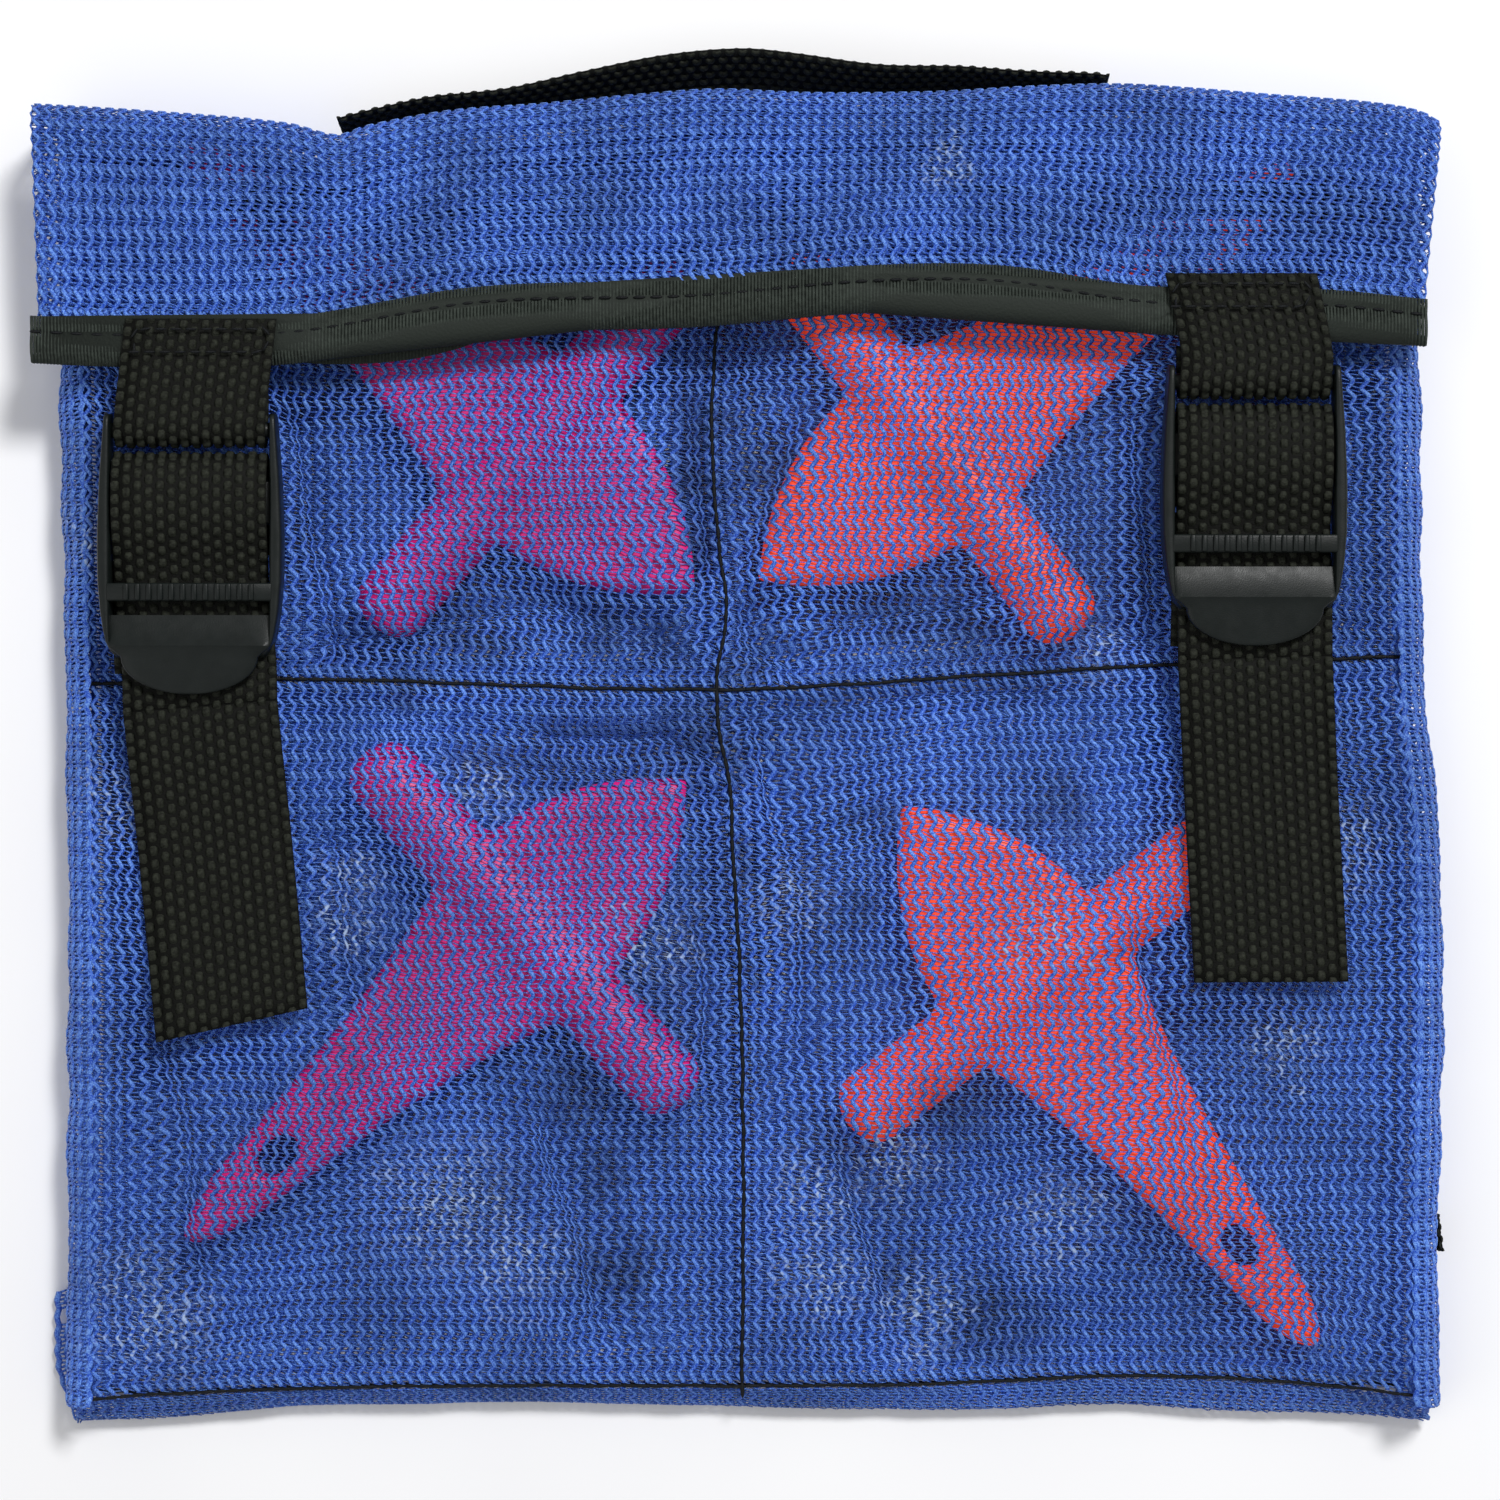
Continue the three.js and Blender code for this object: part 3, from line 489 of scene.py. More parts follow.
def webbing_tree():
    """Plain-woven webbing: warp yarns that rise and dip in turn, over a dark core of weft."""
    tree, given = new_tree(
        "Woven webbing", ("Width", "Float"), ("Length", "Float"), ("Columns", "Int"), ("Rows", "Int"),
        ("Thickness", "Float"),
    )
    step = add(tree, "ShaderNodeMath", {0: given["Width"], 1: given["Columns"]}, operation="DIVIDE")
    row = add(tree, "ShaderNodeMath", {0: given["Length"], 1: given["Rows"]}, operation="DIVIDE")
    first = add(tree, "ShaderNodeMath", {0: step, 1: 0.5}, operation="MULTIPLY")
    count = add(tree, "ShaderNodeMath", {0: given["Rows"], 1: 6.0, 2: 1.0}, operation="MULTIPLY_ADD")
    end = add(tree, "ShaderNodeCombineXYZ", {1: given["Length"]})
    path = add(tree, "GeometryNodeCurvePrimitiveLine", {0: (0, 0, 0), 1: end})
    path = add(tree, "GeometryNodeResampleCurve", {"Curve": path, "Count": count})
    stations = add(tree, "GeometryNodeMeshLine", {
        "Count": given["Columns"], "Start Location": add(tree, "ShaderNodeCombineXYZ", {0: first}),
        "Offset": add(tree, "ShaderNodeCombineXYZ", {0: step})})
    yarns = add(tree, "GeometryNodeInstanceOnPoints", {"Points": stations, "Instance": path})
    yarns = add(tree, "GeometryNodeRealizeInstances", {0: yarns})
    place = add(tree, "ShaderNodeSeparateXYZ", {0: add(tree, "GeometryNodeInputPosition")})
    column = add(tree, "ShaderNodeMath", {0: place.outputs[0], 1: step}, operation="DIVIDE")
    column = add(tree, "ShaderNodeMath", {0: column}, operation="FLOOR")
    rows = add(tree, "ShaderNodeMath", {0: place.outputs[1], 1: row}, operation="DIVIDE")
    turn = add(tree, "ShaderNodeMath", {0: rows, 1: 2 * math.pi}, operation="MULTIPLY")
    turn = add(tree, "ShaderNodeMath", {0: column, 1: math.pi, 2: turn}, operation="MULTIPLY_ADD")
    wave = add(tree, "ShaderNodeMath", {0: turn}, operation="COSINE")
    wave = add(tree, "ShaderNodeMath", {0: wave, 1: math.pi / 2}, operation="MULTIPLY")
    wave = add(tree, "ShaderNodeMath", {0: wave}, operation="SINE")
    height = add(tree, "ShaderNodeMath", {0: wave, 1: given["Thickness"]}, operation="MULTIPLY")
    height = add(tree, "ShaderNodeMath", {0: height, 1: 0.23}, operation="MULTIPLY")
    yarns = add(tree, "GeometryNodeSetPosition",
                {0: yarns, 3: add(tree, "ShaderNodeCombineXYZ", {2: height})})
    yarns = add(tree, "GeometryNodeStoreNamedAttribute",
                {"Geometry": yarns, "Name": "float_yarn", "Value": 1.0}, data_type="FLOAT", domain="POINT")
    yarns = add(tree, "GeometryNodeSetCurveNormal", {0: yarns}, mode="Z_UP")
    ring = add(tree, "GeometryNodeCurvePrimitiveCircle", {"Resolution": 6, "Radius": 0.5})
    wide = add(tree, "ShaderNodeMath", {0: step, 1: 0.76}, operation="MULTIPLY")
    thick = add(tree, "ShaderNodeMath", {0: given["Thickness"], 1: 0.46}, operation="MULTIPLY")
    section = add(tree, "GeometryNodeTransform", {"Geometry": ring, "Scale": add(
        tree, "ShaderNodeCombineXYZ", {0: wide, 1: thick, 2: 1.0})})
    strands = add(tree, "GeometryNodeCurveToMesh",
                  {"Curve": yarns, "Profile Curve": section, "Fill Caps": True})
    cuts = add(tree, "ShaderNodeMath", {0: given["Rows"], 1: 1.0}, operation="ADD")
    core = core_slab(tree, given, cuts, 0.14)
    both = add(tree, "GeometryNodeJoinGeometry", {0: strands})
    tree.links.new(core, both.inputs[0])
    return finish_tree(tree, given, both)


def core_slab(tree, given, rows, share):
    """A flat slab in the middle of a woven piece, so that no light passes between its yarns."""
    wide = add(tree, "ShaderNodeMath", {0: given["Width"], 1: 0.985}, operation="MULTIPLY")
    long = add(tree, "ShaderNodeMath", {0: given["Length"], 1: 0.998}, operation="MULTIPLY")
    thick = add(tree, "ShaderNodeMath", {0: given["Thickness"], 1: share}, operation="MULTIPLY")
    slab = add(tree, "GeometryNodeMeshCube", {
        "Size": add(tree, "ShaderNodeCombineXYZ", {0: wide, 1: long, 2: thick}),
        "Vertices X": 6, "Vertices Y": rows, "Vertices Z": 2})
    middle = add(tree, "ShaderNodeVectorMath",
                 {0: add(tree, "ShaderNodeCombineXYZ", {0: given["Width"], 1: given["Length"]}), 3: 0.5},
                 operation="SCALE")
    return add(tree, "GeometryNodeTransform", {"Geometry": slab.outputs[0], "Translation": middle}).outputs[0]


def grosgrain_tree():
    """Grosgrain tape: round ribs side by side across the tape, on a thin core."""
    tree, given = new_tree(
        "Grosgrain", ("Width", "Float"), ("Length", "Float"), ("Ribs", "Int"), ("Rows", "Int"),
        ("Thickness", "Float"),
    )
    step = add(tree, "ShaderNodeMath", {0: given["Width"], 1: given["Ribs"]}, operation="DIVIDE")
    first = add(tree, "ShaderNodeMath", {0: step, 1: 0.5}, operation="MULTIPLY")
    end = add(tree, "ShaderNodeCombineXYZ", {1: given["Length"]})
    path = add(tree, "GeometryNodeCurvePrimitiveLine", {0: (0, 0, 0), 1: end})
    path = add(tree, "GeometryNodeResampleCurve", {"Curve": path, "Count": given["Rows"]})
    stations = add(tree, "GeometryNodeMeshLine", {
        "Count": given["Ribs"], "Start Location": add(tree, "ShaderNodeCombineXYZ", {0: first}),
        "Offset": add(tree, "ShaderNodeCombineXYZ", {0: step})})
    ribs = add(tree, "GeometryNodeInstanceOnPoints", {"Points": stations, "Instance": path})
    ribs = add(tree, "GeometryNodeRealizeInstances", {0: ribs})
    ribs = add(tree, "GeometryNodeSetCurveNormal", {0: ribs}, mode="Z_UP")
    ribs = add(tree, "GeometryNodeStoreNamedAttribute",
               {"Geometry": ribs, "Name": "float_yarn", "Value": 1.0}, data_type="FLOAT", domain="POINT")
    ring = add(tree, "GeometryNodeCurvePrimitiveCircle", {"Resolution": 4, "Radius": 0.5})
    wide = add(tree, "ShaderNodeMath", {0: step, 1: 0.96}, operation="MULTIPLY")
    section = add(tree, "GeometryNodeTransform", {"Geometry": ring, "Scale": add(
        tree, "ShaderNodeCombineXYZ", {0: wide, 1: given["Thickness"], 2: 1.0})})
    strands = add(tree, "GeometryNodeCurveToMesh",
                  {"Curve": ribs, "Profile Curve": section, "Fill Caps": True})
    core = core_slab(tree, given, given["Rows"], 0.5)
    both = add(tree, "GeometryNodeJoinGeometry", {0: strands})
    tree.links.new(core, both.inputs[0])
    return finish_tree(tree, given, both)


def stitch_tree():
    """Stitches end to end along a line, each a short spindle of thread."""
    tree, given = new_tree("Stitches", ("Spacing", "Float"), ("Stitch", "Float"), ("Radius", "Float"))
    path = add(tree, "GeometryNodeMeshToCurve", {0: given["Geometry"]})
    path = add(tree, "GeometryNodeResampleCurve", {"Curve": path, "Length": given["Spacing"]}, mode="LENGTH")
    spindle = add(tree, "GeometryNodeMeshIcoSphere", {"Radius": 1.0, "Subdivisions": 2})
    half = add(tree, "ShaderNodeMath", {0: given["Stitch"], 1: 0.5}, operation="MULTIPLY")
    spindle = add(tree, "GeometryNodeTransform", {"Geometry": spindle, "Scale": add(
        tree, "ShaderNodeCombineXYZ", {0: given["Radius"], 1: given["Radius"], 2: half})})
    turn = add(tree, "FunctionNodeAlignRotationToVector",
               {"Vector": add(tree, "GeometryNodeInputTangent")}, axis="Z")
    spindle = add(tree, "GeometryNodeStoreNamedAttribute",
                  {"Geometry": spindle, "Name": "float_yarn", "Value": 1.0},
                  data_type="FLOAT", domain="POINT")
    placed = add(tree, "GeometryNodeInstanceOnPoints",
                 {"Points": path, "Instance": spindle, "Rotation": turn})
    return finish_tree(tree, given, placed, on_cloth=False)


# ---- Materials ----

# How far the outlines of the spots of painted light and painted shade wander, in millimetres.
WANDER = 18


def new_material(name):
    material = bpy.data.materials.new(name)
    material.use_nodes = True
    return material, material.node_tree, material.node_tree.nodes["Principled BSDF"]


def speckle(tree, size, low, high, detail=2.0):
    """A value that wanders between low and high over spots of a size in metres."""
    spots = add(tree, "ShaderNodeTexNoise", {
        "Vector": add(tree, "ShaderNodeTexCoord").outputs["Object"], "Scale": 1 / size, "Detail": detail})
    return add(tree, "ShaderNodeMapRange", {0: spots.outputs[0], 1: 0.3, 2: 0.7, 3: low, 4: high}).outputs[0]


def near_spots(tree, spots):
    """How near a place is to a spot's middle, seen from above: 1 there, 0 outside the ragged outline."""
    place = add(tree, "ShaderNodeTexCoord").outputs["Object"]
    wander = add(tree, "ShaderNodeTexNoise", {"Vector": place, "Scale": 1 / (7 * MM), "Detail": 2.0})
    moved = add(tree, "ShaderNodeVectorMath", {0: wander.outputs["Color"], 1: (WANDER * MM,) * 3, 2: place},
                operation="MULTIPLY_ADD")
    level = add(tree, "ShaderNodeVectorMath", {0: moved, 1: (1, 1, 0)}, operation="MULTIPLY")
    nearest = 0.0
    for x, y, radius in spots:
        middle = ((x + WANDER / 2) * MM, (y + WANDER / 2) * MM, 0)
        gap = add(tree, "ShaderNodeVectorMath", {0: level, 1: middle}, operation="DISTANCE")
        near = add(tree, "ShaderNodeMapRange",
                   {"Value": gap.outputs["Value"], "From Min": 1.25 * radius * MM, "From Max": 0},
                   interpolation_type="SMOOTHSTEP")
        nearest = add(tree, "ShaderNodeMath", {0: near.outputs[0], 1: nearest}, operation="MAXIMUM")
    return nearest


def knit_material(settings):
    """Texturised polyester yarn, warp-knitted: a soft matt blue, with painted highlights on its long floats
    and in fine glints, painted shade in hollows and broad patches, and pale flecks of painted light.
    """
    material, tree, shader = new_material("Warp-knit polyester yarn")
    lay = add(tree, "ShaderNodeAttribute", attribute_name="float_yarn").outputs["Fac"]
    # Painted highlight: fine glints, with the long floats, mix the yarn's colour towards the pale highlight
    # colour.
    painted_glint = speckle(tree, 0.22 * MM, -0.35, 0.75)
    share = add(tree, "ShaderNodeMath", {0: lay, 1: 0.24, 2: painted_glint}, operation="MULTIPLY_ADD", use_clamp=True)
    tone = add(tree, "ShaderNodeMix", {"Factor": share, 6: (*settings.blue, 1), 7: (*settings.pale, 1)},
               data_type="RGBA")
    # Painted shade: the colour's value is lowered in the shade spots.
    light = add(tree, "ShaderNodeMath", {0: near_spots(tree, PAINTED_SHADE_SPOTS), 1: -0.42, 2: 1.0},
                operation="MULTIPLY_ADD")
    # Broad patches of painted light and shade: the colour's value is raised and lowered at random over about
    # 20 mm.
    uneven = speckle(tree, 20 * MM, 0.8, 1.22, 1.0)
    light = add(tree, "ShaderNodeMath", {0: light, 1: uneven}, operation="MULTIPLY")
    shade = add(tree, "ShaderNodeHueSaturation", {"Value": light, "Color": tone.outputs[2]})
    # Painted light: pale flecks are mixed into the colour inside the light spots.
    painted_light_fleck = speckle(tree, 0.8 * MM, -1.5, 1.5, 1.0)
    painted_light_fleck = add(tree, "ShaderNodeMath", {0: painted_light_fleck, 1: near_spots(tree, PAINTED_LIGHT_SPOTS)}, operation="MULTIPLY",
                use_clamp=True)
    with_light_flecks = add(tree, "ShaderNodeMix", {"Factor": painted_light_fleck, 6: shade.outputs[0], 7: (*settings.painted_light_fleck, 1)},
                  data_type="RGBA")
    tree.links.new(with_light_flecks.outputs[2], shader.inputs["Base Color"])
    filaments = add(tree, "ShaderNodeBump", {
        "Strength": 0.5, "Distance": 0.06 * MM, "Height": speckle(tree, 0.14 * MM, 0.0, 1.0)})
    tree.links.new(filaments.outputs[0], shader.inputs["Normal"])
    shader.inputs["Roughness"].default_value = 0.5
    shader.inputs["Specular IOR Level"].default_value = 0.25
    shader.inputs["Sheen Weight"].default_value = 0.06
    return material


def woven_material(name, tone, pale, rough, grain):
    """Dull filament yarn, woven tight: a near black core, with its raised yarns painted greyer in random
    grains, a painted highlight on the tops of the yarns.
    """
    material, tree, shader = new_material(name)
    stands = add(tree, "ShaderNodeAttribute", attribute_name="float_yarn").outputs["Fac"]
    share = speckle(tree, grain, 0.2, 1.0)
    share = add(tree, "ShaderNodeMath", {0: share, 1: stands}, operation="MULTIPLY")
    # Painted highlight: the raised yarns mix towards the paler colour in random grains, and the core stays
    # dark.
    mixed = add(tree, "ShaderNodeMix", {"Factor": share, 6: (*tone, 1), 7: (*pale, 1)}, data_type="RGBA")
    tree.links.new(mixed.outputs[2], shader.inputs["Base Color"])
    fuzz = add(tree, "ShaderNodeBump", {
        "Strength": 0.6, "Distance": 0.08 * MM, "Height": speckle(tree, grain * 0.5, 0.0, 1.0)})
    tree.links.new(fuzz.outputs[0], shader.inputs["Normal"])
    shader.inputs["Roughness"].default_value = rough
    shader.inputs["Specular IOR Level"].default_value = 0.15
    return material


def buckle_material(settings):
    """Moulded acetal with a fine spark-eroded texture: dark grey-green with a soft broad gloss."""
    material, tree, shader = new_material("Moulded acetal")
    worn = speckle(tree, 3 * MM, 0.0, 1.0)
    pale = [c * 1.25 for c in settings.buckle]
    tone = add(tree, "ShaderNodeMix", {"Factor": worn, 6: (*settings.buckle, 1), 7: (*pale, 1)},
               data_type="RGBA")
    tree.links.new(tone.outputs[2], shader.inputs["Base Color"])
    tree.links.new(speckle(tree, 2 * MM, 0.34, 0.46), shader.inputs["Roughness"])
    shader.inputs["Specular IOR Level"].default_value = 0.25
    grain = add(tree, "ShaderNodeBump", {
        "Strength": 0.35, "Distance": 0.03 * MM, "Height": speckle(tree, 0.2 * MM, 0.0, 1.0)})
    tree.links.new(grain.outputs[0], shader.inputs["Normal"])
    return material


def rubber_material(name, tone, glow):
    """Moulded rubber with a satin skin: strong even colour with faint flow marks, and a painted glow that
    makes it brighter than the lamps light it.
    """
    material, tree, shader = new_material(name)
    marks = speckle(tree, 9 * MM, 0.0, 1.0)
    shade = add(tree, "ShaderNodeMix", {
        "Factor": marks, 6: (*(c * 0.9 for c in tone), 1), 7: (*tone, 1)}, data_type="RGBA")
    tree.links.new(shade.outputs[2], shader.inputs["Base Color"])
    tree.links.new(speckle(tree, 4 * MM, 0.42, 0.56), shader.inputs["Roughness"])
    skin = add(tree, "ShaderNodeBump", {
        "Strength": 0.25, "Distance": 0.05 * MM, "Height": speckle(tree, 0.6 * MM, 0.0, 1.0)})
    tree.links.new(skin.outputs[0], shader.inputs["Normal"])
    shader.inputs["IOR"].default_value = 1.52
    # Painted glow: the rubber emits its own colour, though it is no lamp.
    shader.inputs["Emission Color"].default_value = (*tone, 1)
    shader.inputs["Emission Strength"].default_value = glow
    return material


def paper_material():
    """Matt white paper sweep, faintly uneven."""
    material, tree, shader = new_material("Matt white paper")
    tone = add(tree, "ShaderNodeMix", {
        "Factor": speckle(tree, 60 * MM, 0.0, 1.0), 6: (*srgb("#F6F6F8"), 1), 7: (*srgb("#FAFAFB"), 1)},
        data_type="RGBA")
    tree.links.new(tone.outputs[2], shader.inputs["Base Color"])
    shader.inputs["Roughness"].default_value = 0.8
    return material


MADE = {}


def kept(name, make, *values):
    """A material, tree or surface by its key, made the first time it is asked for."""
    if name not in MADE:
        MADE[name] = make(*values)
    return MADE[name]


def mesh_yarn(settings):
    return kept("knit", knit_material, settings.knit)


def strap_yarn(settings):
    webbing = settings.webbing
    return kept("strap", woven_material, "Woven polypropylene webbing", tuple(webbing.black),
                tuple(webbing.yarn_top_highlight), 0.7, 0.5 * MM)


def tape_yarn(settings):
    tone = tuple(settings.webbing.tape)
    return kept("tape", woven_material, "Ribbed grosgrain tape", tone, tuple(c * 2.2 for c in tone),
                0.7, 0.9 * MM)


def thread_yarn(settings):
    tone = tuple(settings.webbing.thread)
    return kept("thread", woven_material, "Bonded sewing thread", tone, tuple(c * 1.6 for c in tone),
                0.5, 0.3 * MM)


# ---- The lie of the cloth ----


def ripples(x, y, seed, waves, low, high):
    """Gentle unevenness between -1 and 1: a sum of sine waves of wavelengths from low to high millimetres."""
    draw = np.random.default_rng(seed)
    total = 0
    for _ in range(waves):
        heading, size, phase = draw.uniform(0, math.pi), draw.uniform(low, high), draw.uniform(0, 6.28)
        total = total + np.sin((x * math.cos(heading) + y * math.sin(heading)) * 2 * math.pi / size + phase)
    return total / math.sqrt(waves) / 1.4


# The grid on which the front cloth is draped.
SPACING = 1.0
GRID_X = np.arange(-112, 116, SPACING)
GRID_Y = np.arange(-109, 92, SPACING)
RELAXATIONS = 1800
# How far the cloth sinks at each relaxation, its least height, and its height above the toys' skin.
SAG, LOWEST, ABOVE_TOYS = 0.0054, 4.4, 0.55
# Where the cross seam meets the centre seam.
CROSSING_Y = 9.5


def toy_tops(x, y):
    """Height of the toys' upper skin over a grid, and -1 where there is none."""
    tops = np.full(x.shape, -1.0)
    for name in TOYS:
        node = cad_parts[name]
        tree = BVHTree.FromObject(node, bpy.context.evaluated_depsgraph_get())
        low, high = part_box(name)
        inside = (x > low.x / MM) & (x < high.x / MM) & (y > low.y / MM) & (y < high.y / MM)
        for i, j in zip(*np.nonzero(inside)):
            hit = tree.ray_cast(Vector((x[i, j] * MM, y[i, j] * MM, 0.1)), Vector((0, 0, -1)))[0]
            if hit:
                tops[i, j] = hit.z / MM
    return tops


def creases(x, y):
    """How far the creases draw each point in, across and up the cloth, and how high they lift it."""
    pull_x, pull_y, lift = 0, 0, 0
    for path, width, height in CREASES:
        found = None
        for (x0, y0), (x1, y1) in zip(path, path[1:]):
            run = (x1 - x0, y1 - y0)
            share = np.clip(((x - x0) * run[0] + (y - y0) * run[1]) / (run[0] ** 2 + run[1] ** 2), 0, 1)
            gap = np.stack([x - x0 - share * run[0], y - y0 - share * run[1]])
            nearer = found is None or np.hypot(*gap) < np.hypot(*found)
            found = np.where(nearer, gap, found if found is not None else gap)
        weight = np.exp(-(found[0] ** 2 + found[1] ** 2) / width ** 2)
        pull_x = pull_x - 0.55 * weight * found[0] * (height < 0)
        pull_y = pull_y - 0.55 * weight * found[1] * (height < 0)
        lift = lift + height * weight
    return pull_x, pull_y, lift


def drape():
    """Height of the front cloth over the grid: stretched between seams and sides, sagging on to the toys."""
    x, y = np.meshgrid(GRID_X, GRID_Y)
    full = full_height(x, y)
    straps = 0
    for strap in STRAPS.values():
        straps = np.maximum(straps, (1 - smooth(np.abs(x - strap["x"]), 9, 20)) * smooth(y, -52, -34))
    floor = np.maximum(toy_tops(x, y) + ABOVE_TOYS, LOWEST)
    floor = np.maximum(floor, mix(LOWEST, full - 0.15, straps))
    floor = np.minimum(floor, full + 0.2)
    seam_at = np.minimum(np.abs(y - CROSS_SEAM(x)), np.abs(y - BOTTOM_SEAM(x)))
    seam_at = np.where(y < MOUTH_Y - 6, np.minimum(seam_at, np.abs(x - centre_x(y))), seam_at)
    held = (seam_at < SEAM_FLAT) | (x < LEFT_EDGE(y) + 5.4) | (x > RIGHT_EDGE(y) - 5.4) | (y > 82)
    held |= y < BOTTOM_SEAM(x)
    z = full.copy()
    for _ in range(RELAXATIONS):
        mean = z.copy()
        mean[1:-1, 1:-1] = (z[:-2, 1:-1] + z[2:, 1:-1] + z[1:-1, :-2] + z[1:-1, 2:]) / 4
        z = np.where(held, full, np.maximum(mean - SAG, floor))
    for _ in range(2):
        mean = z.copy()
        mean[1:-1, 1:-1] = (z[:-2, 1:-1] + z[2:, 1:-1] + z[1:-1, :-2] + z[1:-1, 2:] + 4 * z[1:-1, 1:-1]) / 8
        z = np.where(held, full, mean)
    away = smooth(seam_at, 0.5, 5)
    puckers = np.exp(-seam_at / 9) * away * (0.6 + 0.4 * ripples(x, y, 4, 4, 20, 50))
    along = np.where(np.abs(x - centre_x(y)) < np.abs(y - CROSS_SEAM(x)), y, x)
    z = z + 0.75 * puckers * np.sin(along * 2 * math.pi / 6.4 + 2.6 * ripples(x, y, 5, 4, 18, 40))
    z = z + creases(x, y)[2] * smooth(seam_at, 0.3, 2.5)
    right, above = x - centre_x(CROSSING_Y), y - CROSSING_Y
    far, around = np.hypot(right, above), np.arctan2(above, right)
    star = np.exp(-((far - 13) / 13) ** 2) * away
    z = z + 0.9 * star * np.sin(9 * around + 0.9 + far / 14)
    near = np.exp(-seam_at / 16)
    z = z + away * (0.45 * ripples(x, y, 11, 7, 16, 46) + (0.1 + 0.28 * near) * ripples(x, y, 12, 6, 6, 11))
    return np.maximum(z, floor - 0.1)


def front_height(x, y):
    """Height of the draped front cloth at any point, between the grid's."""
    z = kept("drape", drape)
    column = np.clip((x - GRID_X[0]) / SPACING, 0, len(GRID_X) - 1.001)
    row = np.clip((y - GRID_Y[0]) / SPACING, 0, len(GRID_Y) - 1.001)
    i, j = row.astype(int), column.astype(int)
    s, t = row - i, column - j
    return mix(mix(z[i, j], z[i + 1, j], s), mix(z[i, j + 1], z[i + 1, j + 1], s), t)


def patch(columns, rows, place):
    """Rows of points from place(u, v), with u and v from 0 to 1."""
    u, v = np.meshgrid(np.linspace(0, 1, columns), np.linspace(0, 1, rows))
    return np.stack(np.broadcast_arrays(*place(u, v)), -1)


def pocket_x(u, y, side):
    """Across one half of a panel: from the left edge to the centre seam, or from there to the right edge."""
    if side == "left":
        return mix(LEFT_EDGE(y) + GUSSET_REACH - 0.4, centre_x(y) + 0.6, u)
    return mix(centre_x(y) - 0.6, RIGHT_EDGE(y) - GUSSET_REACH + 0.4, u)


def drift(x, y, low, high, left, right):
    """Small wanderings of the cloth in its own plane, which fade out at the edges of its panel."""
    def inside(up, aside):
        upright = smooth(y - low, 0, up) * smooth(high - y, 0, up)
        return upright * smooth(x - left, 0, aside) * smooth(right - x, 0, aside)

    inner, near = inside(10, 8), inside(2, 2)
    pull_x, pull_y, _ = creases(x, y)
    return (1.1 * inner * ripples(x, y, 21, 6, 18, 50) + near * pull_x,
            1.1 * inner * ripples(x, y, 22, 6, 18, 50) + near * pull_y)


def panel_patch(side, low, high, height):
    """One half of a panel, between its lower and upper edges, at its height."""
    def place(u, v):
        x = pocket_x(u, 0, side)
        for _ in range(3):
            y = mix(low(x), high(x), v)
            x = pocket_x(u, y, side)
        ends = [pocket_x(e, y, side) for e in (0, 1)]
        dx, dy = drift(x, y, low(x), high(x), *ends)
        return x + dx, y + dy, height(x + dx, y + dy)

    return patch(120, 124, place)


def lay_knit(context, name, points, flip=False, sides=5, dense=1.0, sway=1.0):
    """Knits a sheet over rows of points; dense makes its yarns that much wider, and sway its zigzags."""
    knit = context.scene.ball_bag.knit
    width, long = spread_of(points)
    return run_tree(name, grid_mesh(name, points, flip), kept("knit tree", knit_tree), {
        "Width": width, "Length": long,
        "Wales": max(2, round(width / knit.wale)), "Zigzags": max(2, round(long / knit.period)),
        "Swing": knit.swing * sway, "Yarn Width": knit.yarn_width * dense,
        "Yarn Thickness": knit.yarn_thick / dense, "Link Radius": knit.link * dense ** 2,
        "Sides": sides, "Material": mesh_yarn(context.scene.ball_bag),
    }), (width, long)


def rest(made, body, slot, *nodes):
    """Fixes a finished piece to its body, and hides the nodes it stands for."""
    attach(made, body)
    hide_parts(*nodes)
    return made


# ---- Cloth ----


class BALLBAG_OT_panels(bpy.types.Operator):
    """Knit the front and back panels, each half on its own"""

    bl_idname = "ballbag.panels"
    bl_label = "Panels"

    def execute(self, context):
        parts = {
            "front_panel_lower": (lambda x: BOTTOM_SEAM(x) - 0.3, lambda x: CROSS_SEAM(x) + 0.2),
            "front_panel_upper": (lambda x: CROSS_SEAM(x) - 0.2, lambda x: 0 * x + MOUTH_Y),
            "back_panel_lower": (lambda x: BOTTOM_SEAM(x) - 0.3, CROSS_SEAM),
            "back_panel_upper": (CROSS_SEAM, lambda x: FOLD_TOP(x) - 2.8),
        }
        for part, (low, high) in parts.items():
            if part.startswith("back"):
                node, height, look = "back_panel", back_height, dict(flip=True, sides=4, dense=1.55)
            else:
                node, height, look = part, front_height, {}
            for side in ("left", "right"):
                points = panel_patch(side, low, high, height)
                made, flat = lay_knit(context, f"{part}_{side}", points, **look)
                rest(made, "root", "mesh_cloth", node)
        return {"FINISHED"}


